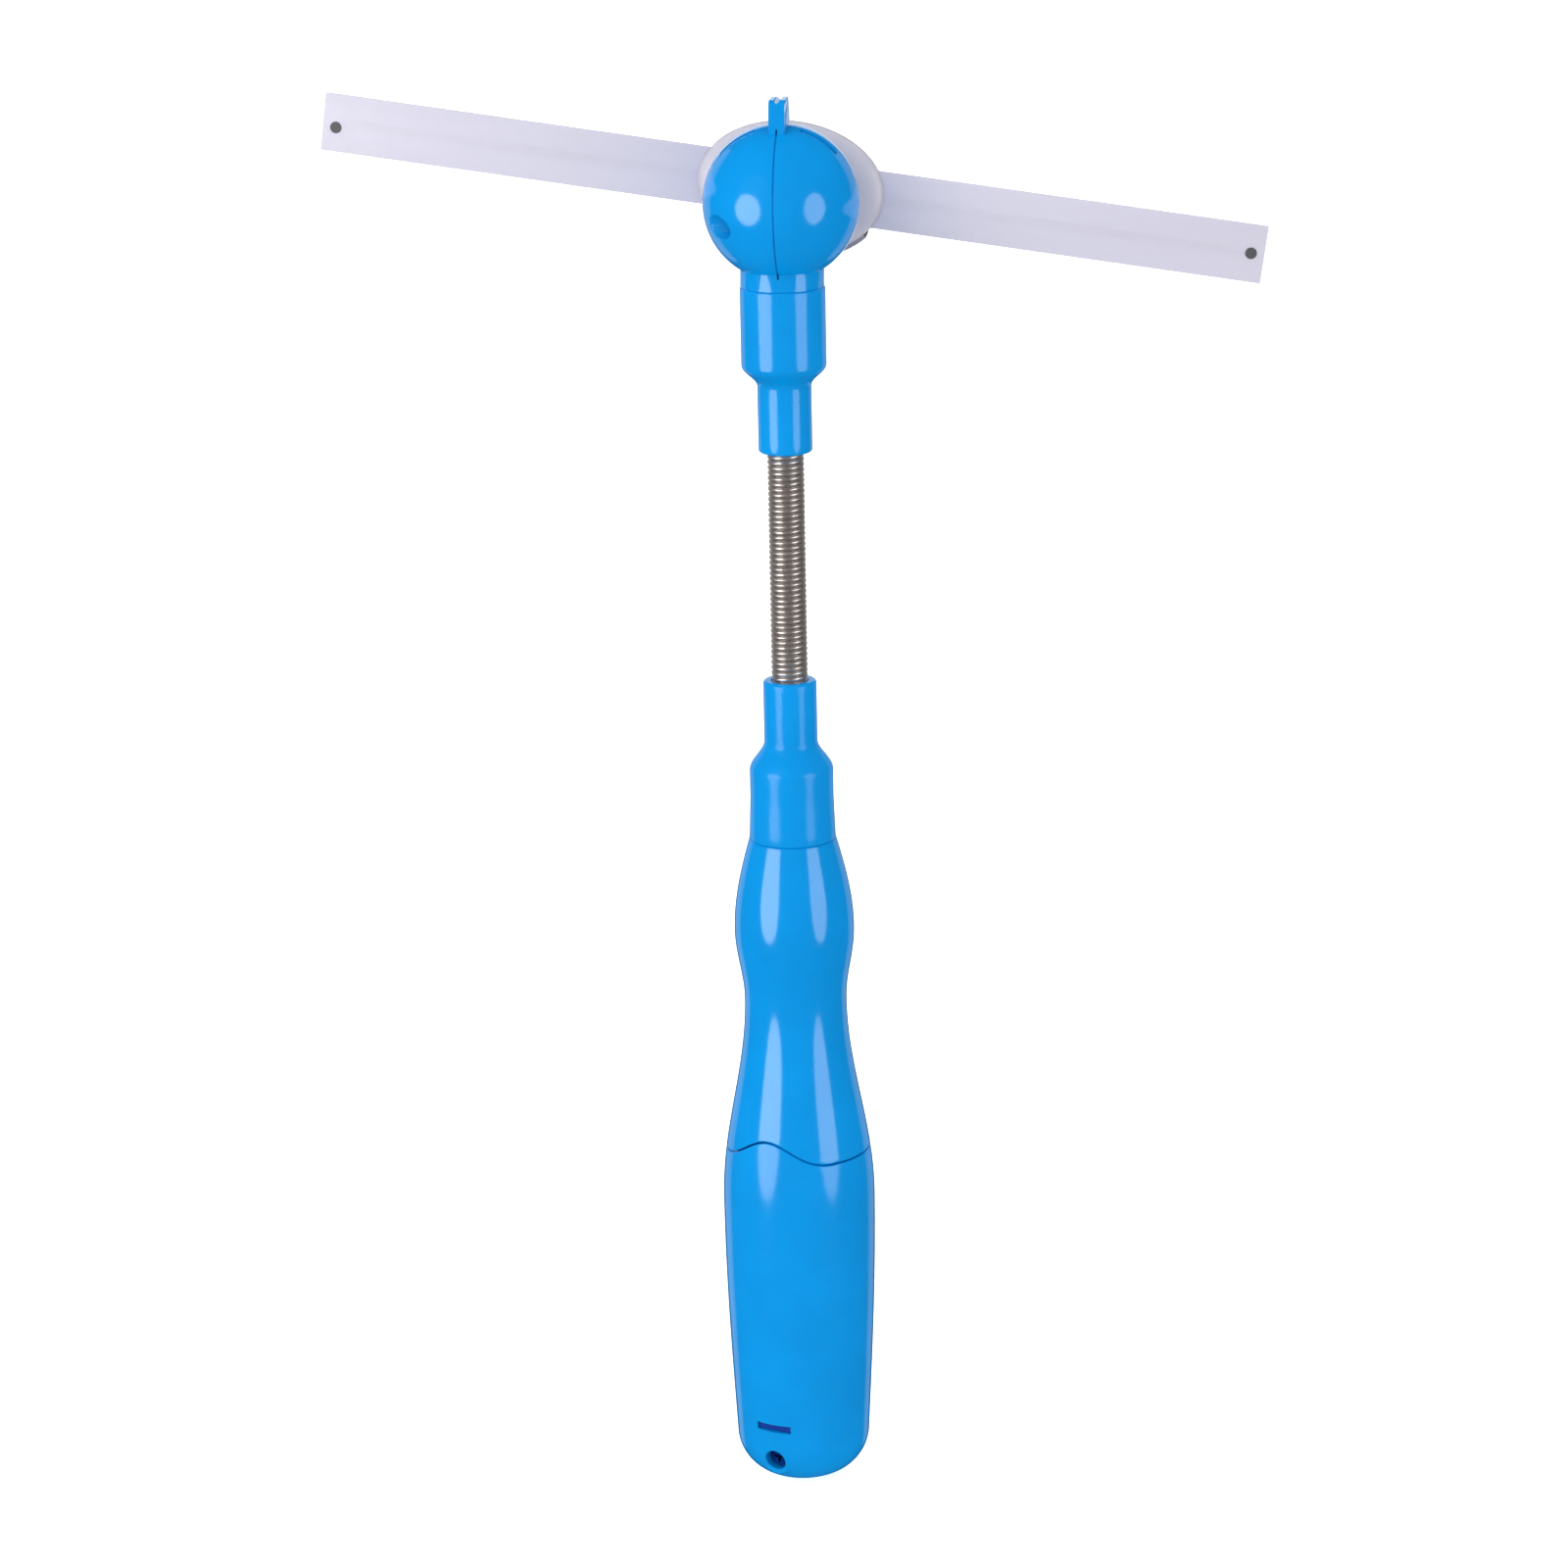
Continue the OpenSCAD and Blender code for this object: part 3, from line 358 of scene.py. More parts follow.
# %% Inner finishes
def plain_plastic(name, colour, roughness, coat=0.0):
    finish, tree, shader = tree_of(name)
    drift = spread(tree, noise(tree, 90, 4), 0, 1)
    cloudy = mixed(tree, drift, shade(colour, 0.88), shade(colour, 1.08))
    tree.links.new(cloudy, shader.inputs["Base Color"])
    dullness = spread(tree, noise(tree, 700, 4), roughness * 0.85, roughness * 1.2)
    tree.links.new(dullness, shader.inputs["Roughness"])
    shader.inputs["Coat Weight"].default_value = coat
    bumped(tree, shader, noise(tree, 1100, 4), 0.00003, 0.2)
    return finish


pale_plastic = plain_plastic("natural_nylon", (0.60, 0.57, 0.45), 0.42)
black_plastic = plain_plastic("black_plastic", (0.012, 0.012, 0.013), 0.36)
cell_sleeve = plain_plastic("cell_sleeve", (0.014, 0.014, 0.017), 0.25, coat=0.4)
board_green = plain_plastic("green_board", (0.012, 0.13, 0.035), 0.3, coat=0.5)
wire_red = plain_plastic("red_wire_sleeve", (0.36, 0.012, 0.012), 0.45)
ferrite = plain_plastic("grey_ferrite", (0.035, 0.035, 0.037), 0.6)
lamp_back = plain_plastic("grey_lamp_back", (0.088, 0.091, 0.097), 0.5)

clear_lamp, lamp_tree, lamp_shader = tree_of("clear_lamp_resin")
lamp_shader.inputs["Transmission Weight"].default_value = 0.85
lamp_shader.inputs["IOR"].default_value = 1.5
lamp_haze = spread(lamp_tree, noise(lamp_tree, 900), 0.06, 0.2)
lamp_tree.links.new(lamp_haze, lamp_shader.inputs["Roughness"])
lamp_tint = spread(lamp_tree, noise(lamp_tree, 300), 0, 1)
lamp_tree.links.new(mixed(lamp_tree, lamp_tint, (0.86, 0.87, 0.9), (0.95, 0.96, 0.98)),
                    lamp_shader.inputs["Base Color"])
print("finishes", len(bpy.data.materials))

# %% [markdown]
# ## Making a piece
# Each new piece starts as a bmesh and ends as an object at the origin. One helper turns a
# bmesh into an object. Two others apply its modifiers and clean the result. Another copies a
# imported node, merges its loose triangles and gives its edges a small round, as every moulded
# edge has. Sizes are in millimetres from here on, and MM turns them into metres.

# %% Piece helpers
MM = 0.001
SHARP = math.radians(34)
SLIVER = 0.004
SAME_SPOT, FLAT = 1e-6, math.radians(0.4)


def linked(name, mesh):
    """A new object in the scene, at the origin."""
    piece = bpy.data.objects.new(name, mesh)
    studio.collection.objects.link(piece)
    return piece


def shaped(name, form, finish, sharp=SHARP):
    """A bmesh as a smooth-shaded object, with its edges above an angle kept sharp."""
    mesh = bpy.data.meshes.new(name)
    form.to_mesh(mesh)
    form.free()
    mesh.shade_smooth()
    mesh.set_sharp_from_angle(angle=sharp)
    mesh.materials.append(finish)
    return linked(name, mesh)


def settle(piece):
    """Applies a piece's modifiers."""
    bpy.context.view_layer.update()
    evaluated = piece.evaluated_get(bpy.context.evaluated_depsgraph_get())
    made = bpy.data.meshes.new_from_object(evaluated)
    piece.modifiers.clear()
    piece.data = made


def clean(piece):
    """Merges corners that stand very close, so that no sliver of a face is left."""
    form = bmesh.new()
    form.from_mesh(piece.data)
    bmesh.ops.remove_doubles(form, verts=form.verts, dist=SLIVER * MM)
    bmesh.ops.dissolve_degenerate(form, dist=SLIVER * MM, edges=form.edges)
    form.to_mesh(piece.data)
    form.free()


def round_edges(piece, width, angle=SHARP):
    """Rounds the edges that are sharper than an angle."""
    step = piece.modifiers.new("edge_round", "BEVEL")
    step.width, step.segments = width * MM, 2
    step.limit_method, step.angle_limit = "ANGLE", angle
    step.harden_normals = True


def copied_form(node):
    """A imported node's mesh as a bmesh, with its doubles merged and flat faces joined."""
    form = bmesh.new()
    form.from_mesh(cad[node].data)
    bmesh.ops.remove_doubles(form, verts=form.verts, dist=SAME_SPOT)
    bmesh.ops.dissolve_limit(form, angle_limit=FLAT, verts=form.verts, edges=form.edges)
    return form


def finished_copy(name, node, body, finish, width):
    """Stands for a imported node: the same shape, smooth, with rounded edges."""
    piece = shaped(name, copied_form(node), finish)
    round_edges(piece, width)
    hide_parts(node)
    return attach(piece, body)


# %% [markdown]
# ## The handle's outline
# The handle is a turned shape: a rounded foot, a full belly, a waist, a bulge under the thumb
# and a shoulder. One function gives its radius at any height, and both halves of the handle
# are spun from it. The wavy seam between them is cut across the handle, so its height depends
# only on how far sideways a point is.

# %% Outline and seam
# A named point of the outline is a radius and a height.
FOOT_FLAT, FOOT_ROUND, WALL = 6.0, 12.0, 2.0
BELLY, WAIST, BULGE, TOP = (20.4, 80.0), (13.6, 136.0), (15.9, 155.5), (11.5, 180.7)
SEAM_Z, CREST, CREST_HALF, SEAM_GAP = 94.5, 6.2, 15.5, 0.5
HANDLE_TURN = Matrix.Rotation(math.radians(-21), 4, "Z")
LINE_STEP, INNER_STEP = 1.6, 3.2


def eased(first, last, share):
    """A value that leaves the first one and reaches the last one gently."""
    return first + (last - first) * (1 - math.cos(math.pi * share)) / 2


def handle_radius(z):
    """The handle's outside radius at a height."""
    foot = FOOT_FLAT + FOOT_ROUND
    if z < FOOT_ROUND:
        return FOOT_FLAT + math.sqrt(max(0, FOOT_ROUND**2 - (FOOT_ROUND - z) ** 2))
    if z < BELLY[1]:
        share = (z - FOOT_ROUND) / (BELLY[1] - FOOT_ROUND)
        return foot + (BELLY[0] - foot) * math.sin(math.pi / 2 * share)
    if z < WAIST[1]:
        return eased(BELLY[0], WAIST[0], (z - BELLY[1]) / (WAIST[1] - BELLY[1]))
    if z < BULGE[1]:
        return eased(WAIST[0], BULGE[0], (z - WAIST[1]) / (BULGE[1] - WAIST[1]))
    share = min(1, (z - BULGE[1]) / (TOP[1] - BULGE[1]))
    return TOP[0] + (BULGE[0] - TOP[0]) * math.cos(math.pi / 2 * share)


def wave(sideways):
    """How far the seam rises at a sideways distance."""
    if abs(sideways) > CREST_HALF:
        return 0.0
    return CREST * (1 + math.cos(math.pi * sideways / CREST_HALF)) / 2


def steps(low, high, size):
    """Even steps of about a size, from one value to another."""
    count = max(1, round((high - low) / size))
    return [low + (high - low) * i / count for i in range(count + 1)]


def side_line(low, high, inset=0.0, size=LINE_STEP):
    """The handle's outline between two heights, or a line inside it."""
    return [(handle_radius(z) - inset, z) for z in steps(low, high, size)]


print("handle widths", [2 * handle_radius(z) for r, z in (BELLY, WAIST, BULGE, TOP)])


def corner(centre, radius, first, last, count=4):
    """Points on a small arc, for rounding an outline's corner. Angles in degrees."""
    angles = [math.radians(first + (last - first) * i / count) for i in range(count + 1)]
    return [(centre[0] + radius * math.cos(a), centre[1] + radius * math.sin(a)) for a in angles]


def spun(outline, closed, sides=144):
    """Spins an outline of (radius, height) about the upright axis."""
    form = bmesh.new()
    line = [form.verts.new((r * MM, 0, z * MM)) for r, z in outline]
    edges = [form.edges.new(pair) for pair in zip(line, line[1:])]
    if closed:
        edges.append(form.edges.new((line[-1], line[0])))
    bmesh.ops.spin(form, geom=line + edges, cent=(0, 0, 0), axis=(0, 0, 1), angle=math.tau,
                   steps=sides, use_merge=True)
    bmesh.ops.remove_doubles(form, verts=form.verts, dist=1e-7)
    bmesh.ops.recalc_face_normals(form, faces=form.faces)
    return form


def bend_to_seam(form, still):
    """Moves a spun shell's rim to the wavy seam. Nothing moves beyond the still height."""
    for vert in form.verts:
        z = vert.co.z / MM
        share = (z - still) / (SEAM_Z - still)
        if share <= 0:
            continue
        new_z = z + wave(vert.co.x / MM) * share
        flat = math.hypot(vert.co.x, vert.co.y)
        inset = handle_radius(z) - flat / MM
        grow = (handle_radius(new_z) - inset) * MM / flat
        vert.co = (vert.co.x * grow, vert.co.y * grow, new_z * MM)


# %% [markdown]
# ### Cutting holes
# A hole in a curved moulding is cut with a Boolean modifier, which is applied at once, so that
# the finished piece has no helper objects left. A boss is joined on in the same way.


# %% Boolean helper
def cutter(shape_matrix, radius=None, depth=None, size=None):
    """A round or square cutting tool. A round one runs along its local Z."""
    form = bmesh.new()
    if radius:
        bmesh.ops.create_cone(form, cap_ends=True, segments=64, radius1=radius * MM,
                              radius2=radius * MM, depth=depth * MM)
    else:
        bmesh.ops.create_cube(form, size=1)
        bmesh.ops.scale(form, vec=Vector(size) * MM, verts=form.verts)
    bmesh.ops.transform(form, matrix=shape_matrix, verts=form.verts)
    mesh = bpy.data.meshes.new("cutter")
    form.to_mesh(mesh)
    form.free()
    return linked("cutter", mesh)


def carve(piece, tools, operation="DIFFERENCE"):
    """Cuts tools out of a piece, or joins them to it, and removes them."""
    for tool in tools:
        step = piece.modifiers.new("carve", "BOOLEAN")
        step.operation, step.solver, step.object = operation, "EXACT", tool
    finish = piece.data.materials[0]
    settle(piece)
    clean(piece)
    piece.data.materials.clear()
    piece.data.materials.append(finish)
    for tool in tools:
        bpy.data.objects.remove(tool)
    piece.data.shade_smooth()
    piece.data.set_sharp_from_angle(angle=SHARP)


def facing(way, z, distance):
    """A tool's place: way -1 is the handle's rear and 1 its front, at a distance from its axis."""
    spot = Matrix.Translation((0, way * distance * MM, z * MM))
    return HANDLE_TURN @ spot @ Matrix.Rotation(math.radians(-90), 4, "X")


# %% [markdown]
# ## Handle body
# The upper half of the handle. It is spun with its wall, its roof and the spigot that the
# collar sits on. The rim at the seam gets a small round, because that thin shadow line is the
# first thing that tells the eye there are two mouldings.

# %% Handle body
LIP, LIP_CLEAR, TOP_ROUND, CHAMFER = 0.22, 0.6, 0.4, 0.3
SPIGOT_R, SPIGOT_IN, SPIGOT_LEN, ROOF = 8.9, 6.6, 10.0, 6.0
BODY_STILL = 128  # the height where the seam's wave has died out in the body
BUTTON_Z, BUTTON_R, BUTTON_GAP = 151.0, 5.0, 0.3
rim = SEAM_Z + SEAM_GAP / 2
rim_r = handle_radius(rim)
body_line = corner((rim_r - LIP, rim + LIP), LIP, -90, 0)
body_line += side_line(rim + LIP + LIP_CLEAR, TOP[1] - TOP_ROUND)
body_line += corner((TOP[0] - TOP_ROUND, TOP[1] - TOP_ROUND), TOP_ROUND, 0, 90)
spigot_top = TOP[1] + SPIGOT_LEN
roof_z = TOP[1] - ROOF
body_line += [(SPIGOT_R, TOP[1]), (SPIGOT_R, spigot_top - CHAMFER),
              (SPIGOT_R - CHAMFER, spigot_top), (SPIGOT_IN + CHAMFER, spigot_top),
              (SPIGOT_IN, spigot_top - CHAMFER), (SPIGOT_IN, roof_z)]
body_line += reversed(side_line(rim + LIP + LIP_CLEAR, roof_z, WALL, INNER_STEP))
body_line += corner((rim_r - WALL + LIP, rim + LIP), LIP, 180, 270)
body_form = spun(body_line, closed=True)
bend_to_seam(body_form, BODY_STILL)
bmesh.ops.transform(body_form, matrix=HANDLE_TURN, verts=body_form.verts)
handle_shell = shaped("handle_shell", body_form, glossy_blue)
button_hole = cutter(facing(1, BUTTON_Z, 14), radius=BUTTON_R + BUTTON_GAP, depth=16)
carve(handle_shell, [button_hole])
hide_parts("handle_body")
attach(handle_shell, "handle")
print("handle shell", len(handle_shell.data.polygons), "faces")

# %% [markdown]
# ## Battery cover
# A deep cup with a rounded foot. A screw goes into a recess near the foot, and a tongue of the
# frame inside snaps into a slot above it. The cup's mould was less polished, so its gloss is
# softer.

# %% Battery cover
CUP_STILL, FOOT_ARC_END = 66, -4  # the wave's end in the cup, and the foot's last angle
SCREW_Z, SCREW_HOLE_R, RECESS_R, RECESS_WALL = 8.6, 1.4, 3.0, 1.2
SLOT_W, SLOT_H, SLOT_Z = 10.0, 2.2, 18.3
lip_z = SEAM_Z - SEAM_GAP / 2
lip_r = handle_radius(lip_z)
cup_line = [(0, 0), (2, 0), (4, 0), (5.6, 0)]
cup_line += corner((FOOT_FLAT, FOOT_ROUND), FOOT_ROUND, -90, FOOT_ARC_END, 20)
cup_line += side_line(FOOT_ROUND, lip_z - LIP - LIP_CLEAR)
cup_line += corner((lip_r - LIP, lip_z - LIP), LIP, 0, 90)
cup_line += corner((lip_r - WALL + LIP, lip_z - LIP), LIP, 90, 180)
cup_line += reversed(side_line(FOOT_ROUND, lip_z - LIP - LIP_CLEAR, WALL, INNER_STEP))
cup_line += corner((FOOT_FLAT, FOOT_ROUND), FOOT_ROUND - WALL, FOOT_ARC_END, -90, 12)
cup_line += [(4, WALL), (2, WALL), (0, WALL)]
cup_form = spun(cup_line, closed=False)
bend_to_seam(cup_form, CUP_STILL)
bmesh.ops.transform(cup_form, matrix=HANDLE_TURN, verts=cup_form.verts)
battery_cup = shaped("battery_cup", cup_form, satin_blue)
screw_boss = cutter(facing(-1, SCREW_Z, 13.6), radius=RECESS_R + RECESS_WALL, depth=5.4)
carve(battery_cup, [screw_boss], "UNION")
carve(battery_cup, [
    cutter(facing(-1, SCREW_Z, 17), radius=RECESS_R, depth=8),
    cutter(facing(-1, SCREW_Z, 12), radius=SCREW_HOLE_R, depth=6),
    cutter(facing(-1, SLOT_Z, 19) @ Matrix.Rotation(math.radians(90), 4, "X"),
           size=(SLOT_W, 8, SLOT_H)),
])
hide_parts("battery_cover")
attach(battery_cup, "handle")
print("battery cup", len(battery_cup.data.polygons), "faces")

# %% [markdown]
# ## Reducing collars
# Two turned collars join the wide mouldings to the thin spring. Each has a wide end, a
# shoulder and a narrow end. One function draws both outlines, and the upper one is turned
# upside down.

# %% Collars
COLLAR_R, NARROW_R, SPIGOT_BORE, SPRING_R, SPRING_WIRE = 11.0, 7.0, 9.0, 4.8, 1.4
SPRING_Z, SPRING_LEN, SPRING_GRIP = 223.5, 60.8, 15.0
SPRING_TOP = SPRING_Z + SPRING_LEN
HEAD_Z = 327.3
FLARE_SHARE, NARROW_ROUND, SHOULDER_STEPS = 0.6, 0.7, 20
SPIGOT_ROOM, BORE_NARROW = 14, 17  # heights where the wide bore ends and the narrow one starts
SPRING_ROOM, EASE_OUT, EASE_DOWN = 0.05, 0.1, 0.15


def collar_line(mouth, wide, shoulder, narrow, mouth_round):
    """A collar's outline, with its wide mouth at height 0 and its narrow end above."""
    length = wide + shoulder + narrow
    flare = wide * FLARE_SHARE
    bore, inner = SPRING_R + SPRING_ROOM, SPRING_R - SPRING_WIRE
    line = corner((mouth - mouth_round, mouth_round), mouth_round, -90, 0)
    line += [(mouth + (COLLAR_R - mouth) * t, flare * t) for t in (0.25, 0.5, 0.75)]
    line += [(COLLAR_R, z) for z in steps(flare, wide, LINE_STEP)[:-1]]
    for i in range(SHOULDER_STEPS + 1):
        share = i / SHOULDER_STEPS
        line.append((eased(COLLAR_R, NARROW_R, share), wide + shoulder * i / SHOULDER_STEPS))
    straight = steps(wide + shoulder, length - NARROW_ROUND, LINE_STEP)
    line += [(NARROW_R, z) for z in straight[1:]]
    line += corner((NARROW_R - NARROW_ROUND, length - NARROW_ROUND), NARROW_ROUND, 0, 90)[1:]
    line += [(bore + EASE_OUT, length), (bore, length - EASE_DOWN), (bore, length - SPRING_GRIP)]
    line += [(inner, length - SPRING_GRIP), (inner, BORE_NARROW), (SPIGOT_BORE, SPIGOT_ROOM)]
    line += [(SPIGOT_BORE, CHAMFER), (SPIGOT_BORE + CHAMFER, 0)]
    return line


def collar(name, line, finish, node, body):
    piece = shaped(name, spun(line, closed=True, sides=112), finish)
    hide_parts(node)
    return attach(piece, body)


lower_line = collar_line(mouth=11.4, wide=18.6, shoulder=8.0, narrow=16.2, mouth_round=0.35)
lower_line = [(r, z + TOP[1]) for r, z in lower_line]
upper_line = collar_line(mouth=COLLAR_R, wide=20.2, shoulder=5.6, narrow=17.2, mouth_round=0.6)
upper_line = [(r, HEAD_Z - z) for r, z in upper_line]
lower_collar = collar("lower_collar", lower_line, worn_blue, "handle_collar", "handle")
upper_collar = collar("upper_collar", upper_line, satin_blue, "head_collar", "head")
print("collars", lower_collar.dimensions[:], upper_collar.dimensions[:])

# %% [markdown]
# ## The spring neck
# The neck is one steel wire wound tight. A tube with a ridged bump would look right from
# straight ahead, but not when the neck bends and not at its edge, so the wire is really wound:
# a small ring of points is spun round the axis and raised as it turns. The coil is cut into
# lengths, one for each place where the neck bends.

# %% Spring coil
BENDS = 6
PITCH = SPRING_LEN / BENDS
LENGTHS = [(SPRING_Z + i * PITCH, SPRING_Z + (i + 1) * PITCH) for i in range(BENDS)]
TURN_STEPS, WIRE_SIDES = 32, 12


def wound(low, high):
    """A length of close-wound wire between two heights."""
    form = bmesh.new()
    start = math.tau * (low - SPRING_Z) / SPRING_WIRE
    ring = bmesh.ops.create_circle(form, segments=WIRE_SIDES, radius=SPRING_WIRE / 2 * MM)["verts"]
    place = (Matrix.Rotation(start, 4, "Z")
             @ Matrix.Translation(((SPRING_R - SPRING_WIRE / 2) * MM, 0, low * MM))
             @ Matrix.Rotation(math.radians(90), 4, "X"))
    bmesh.ops.transform(form, matrix=place, verts=ring)
    turns = (high - low) / SPRING_WIRE
    count = round(turns * TURN_STEPS)
    loop = list({edge for vert in ring for edge in vert.link_edges})
    bmesh.ops.spin(form, geom=ring + loop, cent=(0, 0, 0), axis=(0, 0, 1), angle=math.tau * turns,
                   steps=count, dvec=(0, 0, (high - low) * MM / count))
    bmesh.ops.holes_fill(form, edges=[e for e in form.edges if e.is_boundary], sides=0)
    bmesh.ops.recalc_face_normals(form, faces=form.faces)
    return form


spring_foot = shaped("spring_foot_coil", wound(SPRING_Z - SPRING_GRIP, SPRING_Z), spring_steel)
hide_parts("spring_foot")
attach(spring_foot, "handle")
spring_end = shaped("spring_head_coil", wound(SPRING_TOP, SPRING_TOP + SPRING_GRIP), spring_steel)
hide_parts("spring_head")
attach(spring_end, "head")

for i, (low, high) in enumerate(LENGTHS):
    coil = shaped(f"spring_coil_{i + 1}", wound(low, high), spring_steel)
    if i < BENDS - 1:
        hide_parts(f"neck_link_{i + 1}")
    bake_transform(coil)
print("spring turns", round((SPRING_LEN + 2 * SPRING_GRIP) / SPRING_WIRE, 1))

# %% [markdown]
# ## Wires in the neck
# Four insulated wires run up inside the spring. They must bend with it, so the imported wires
# are cut at the same heights as the coil.


# %% Neck wires
WIRE_STEP = 1.2


def wire_length(low=None, high=None):
    """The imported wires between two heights. A length that bends is cut into short steps."""
    form = copied_form("neck_wires")
    cuts = [] if low is None or high is None else steps(low, high, WIRE_STEP)[1:-1]
    for height in cuts:
        bmesh.ops.bisect_plane(form, geom=form.verts[:] + form.edges[:] + form.faces[:],
                               plane_co=(0, 0, height * MM), plane_no=(0, 0, 1))
    for height, under in ((low, True), (high, False)):
        if height is not None:
            bmesh.ops.bisect_plane(form, geom=form.verts[:] + form.edges[:] + form.faces[:],
                                   plane_co=(0, 0, height * MM), plane_no=(0, 0, 1),
                                   clear_inner=under, clear_outer=not under)
    bmesh.ops.holes_fill(form, edges=[e for e in form.edges if e.is_boundary], sides=0)
    bmesh.ops.recalc_face_normals(form, faces=form.faces)
    return form


lower_wires = shaped("neck_wires_handle", wire_length(high=SPRING_Z), wire_red)
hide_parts("neck_wires")
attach(lower_wires, "handle")
upper_wires = shaped("neck_wires_head", wire_length(low=SPRING_TOP), wire_red)
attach(upper_wires, "head")
for i, (low, high) in enumerate(LENGTHS):
    length = shaped(f"neck_wires_{i + 1}", wire_length(low, high), wire_red)
    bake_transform(length)

# %% [markdown]
# ## The ball
# The ball is two shells that meet in an upright seam, and each carries half of the fin, half of
# the neck ring and one vent slot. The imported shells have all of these, so they are copied,
# smoothed and given rounded edges.

# %% Ball shells
for side in ("left", "right"):
    shell = finished_copy(f"ball_{side}", f"head_shell_{side}", "head", glossy_blue,
                          width=0.06)
    print(shell.name, len(shell.data.polygons), "faces")

# %% [markdown]
# ## The hub
# The hub is a milky oval in two shells: a shallow one behind and a deeper dome in front. Each
# is half of a squashed sphere with a hole at its pole. The rim stands back where a strip
# passes between the two, and the rings of corners that this presses together are merged.

# %% Hub shells
BALL_Z = 348.6
HUB_A, HUB_B, HUB_WALL, PLANE_Y, REST_TURN = 24.4, 17.2, 1.3, 25.5, 8.3
PASS_HALF, PRESSED_GAP, HUB_ROUND, HUB_SHARP = 8.3, 0.1, 0.25, math.radians(50)
ROTOR = (Matrix.Translation((0, 0, BALL_Z * MM)) @ Matrix.Rotation(math.radians(REST_TURN), 4, "Y")
         @ Matrix.Rotation(math.radians(-90), 4, "X"))


def hub_shell(name, node, depth, hole, step, front):
    """One shell: its depth, the hole at its pole and how far back its rim steps for a strip."""
    form = bmesh.new()
    bmesh.ops.create_uvsphere(form, u_segments=128, v_segments=64, radius=1)
    bmesh.ops.bisect_plane(form, geom=form.verts[:] + form.edges[:] + form.faces[:],
                           plane_co=(0, 0, 0), plane_no=(0, 0, 1), clear_inner=True)
    near = [v for v in form.verts if math.hypot(v.co.x * HUB_A, v.co.y * HUB_B) < hole]
    bmesh.ops.delete(form, geom=near, context="VERTS")
    bmesh.ops.scale(form, vec=(HUB_A * MM, HUB_B * MM, depth * MM), verts=form.verts)
    ring = {v for e in form.edges if e.is_boundary for v in e.verts if v.co.z > depth * MM * 0.6}
    for vert in ring:
        flat = Vector((vert.co.x, vert.co.y, 0)).normalized() * hole * MM
        vert.co = (flat.x, flat.y, vert.co.z)
    stepped = [v for v in form.verts if abs(v.co.y) < PASS_HALF * MM and v.co.z < step * MM]
    for vert in stepped:
        vert.co.z = step * MM
    bmesh.ops.remove_doubles(form, verts=stepped, dist=PRESSED_GAP * MM)
    bmesh.ops.recalc_face_normals(form, faces=form.faces)
    if sum(f.normal.z for f in form.faces) < 0:
        bmesh.ops.reverse_faces(form, faces=form.faces)
    place = ROTOR @ Matrix.Translation((0, 0, PLANE_Y * MM))
    if not front:
        place = place @ Matrix.Diagonal((1, 1, -1, 1))
    bmesh.ops.transform(form, matrix=place, verts=form.verts)
    if not front:
        bmesh.ops.reverse_faces(form, faces=form.faces)
    piece = shaped(name, form, milky_hub, HUB_SHARP)
    skin = piece.modifiers.new("wall", "SOLIDIFY")
    skin.thickness, skin.offset = HUB_WALL * MM, -1
    settle(piece)
    clean(piece)
    round_edges(piece, HUB_ROUND, HUB_SHARP)
    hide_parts(node)
    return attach(piece, "rotor")


hub_front = hub_shell("hub_dome", "rotor_dome", depth=11.5, hole=1.3, step=1.0, front=True)
hub_shell("hub_back", "rotor_back_shell", depth=4.5, hole=7.5, step=0.55, front=False)
print("hub", [round(v / MM, 1) for v in hub_front.dimensions])

# %% [markdown]
# ## The strips
# Each strip is a flat, soft band with rounded edges. It starts under the clamp in the hub and
# ends in a small lamp. A cube is stretched to the band's size and its edges are bevelled.

# %% Strips
STRIP_SPAN, STRIP_W, STRIP_T, STRIP_ROOT, STRIP_EDGE = 247.0, 15.0, 1.0, 8.5, 0.18


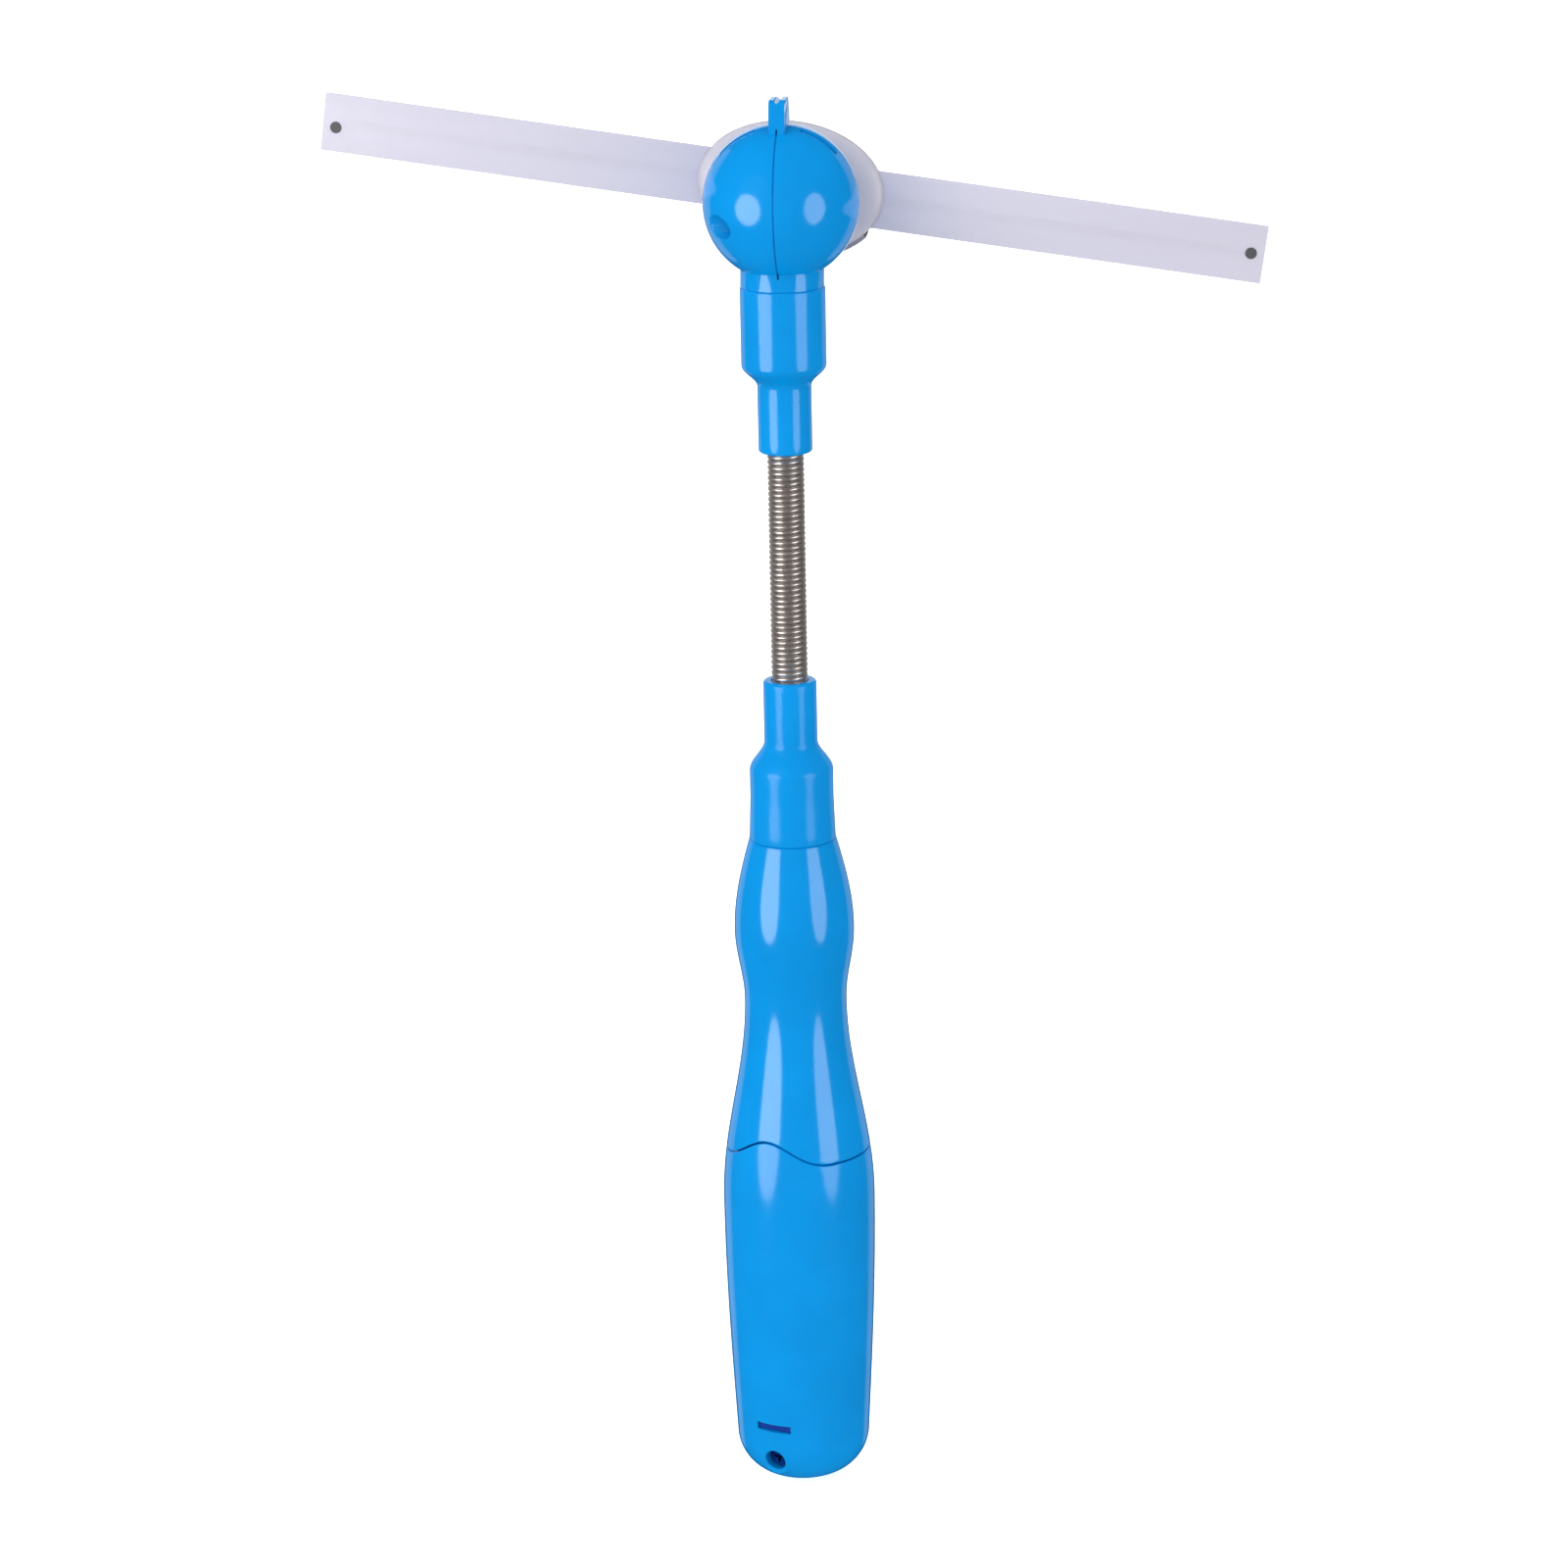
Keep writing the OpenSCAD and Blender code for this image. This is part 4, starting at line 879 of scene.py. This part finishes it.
def strip(name, node, side):
    """One strip. Side -1 stands to the left at rest, as the camera sees it, and 1 to the right."""
    form = bmesh.new()
    bmesh.ops.create_cube(form, size=1)
    length = STRIP_SPAN / 2 - STRIP_ROOT
    bmesh.ops.scale(form, vec=(length * MM, STRIP_W * MM, STRIP_T * MM), verts=form.verts)
    middle = side * (STRIP_ROOT + length / 2)
    bmesh.ops.translate(form, vec=(middle * MM, 0, PLANE_Y * MM), verts=form.verts)
    bmesh.ops.bevel(form, geom=form.edges[:], affect="EDGES", offset=STRIP_EDGE * MM, segments=3,
                    profile=0.5, material=-1)
    bmesh.ops.transform(form, matrix=ROTOR, verts=form.verts)
    piece = shaped(name, form, milky_strip)
    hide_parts(node)
    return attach(piece, "rotor")


strip("strip_left", "blade_left", -1)
strip("strip_right", "blade_right", 1)
print("strips", STRIP_SPAN, "mm from end to end")

# %% [markdown]
# ## Small pieces that show
# The button, the screws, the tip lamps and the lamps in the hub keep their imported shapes, with
# rounded edges and their own finishes.

# %% Small pieces
finished_copy("button_cap", "power_button", "button", button_white, 0.15)
# The two screws in recesses of the blue mouldings get the dark screw colour, which is painted
# shade of their recesses.
finished_copy("cover_screw_head", "cover_screw", "handle", screw_recess_shade, 0.08)
finished_copy("ball_screws", "head_screws", "head", screw_recess_shade, 0.08)
finished_copy("hub_centre_screw", "hub_screw", "rotor", screw_zinc, 0.08)
for side in ("left", "right"):
    finished_copy(f"tip_lamp_{side}", f"tip_led_{side}", "rotor", lamp_back, 0.12)
finished_copy("hub_lamps", "hub_leds", "rotor", clear_lamp, 0.08)

# %% [markdown]
# ## The pieces inside
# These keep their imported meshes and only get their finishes.

# %% Inner pieces
INNER = {
    # The frame's deep blue is painted shade of the slot it shows through.
    slot_shade_blue: ["battery_frame"],
    pale_plastic: ["switch_plunger", "motor_end_cap", "drive_hub", "blade_clamp"],
    cell_sleeve: ["battery_cell_1", "battery_cell_2", "battery_cell_3"],
    nickel: ["lower_contacts", "upper_contacts"],
    screw_zinc: ["frame_screws", "board_screws", "clamp_screws"],
    board_green: ["control_board", "led_board"],
    black_plastic: ["switch_body", "brush_carrier"],
    motor_steel: ["motor_can", "motor_shaft"],
    ferrite: ["motor_magnets"],
    copper: ["motor_armature", "contact_brushes", "slip_rings", "blade_wires"],
}
for finish, nodes in INNER.items():
    for node in nodes:
        cad[node].data.materials.clear()
        cad[node].data.materials.append(finish)
print("inner pieces", sum(len(nodes) for nodes in INNER.values()))
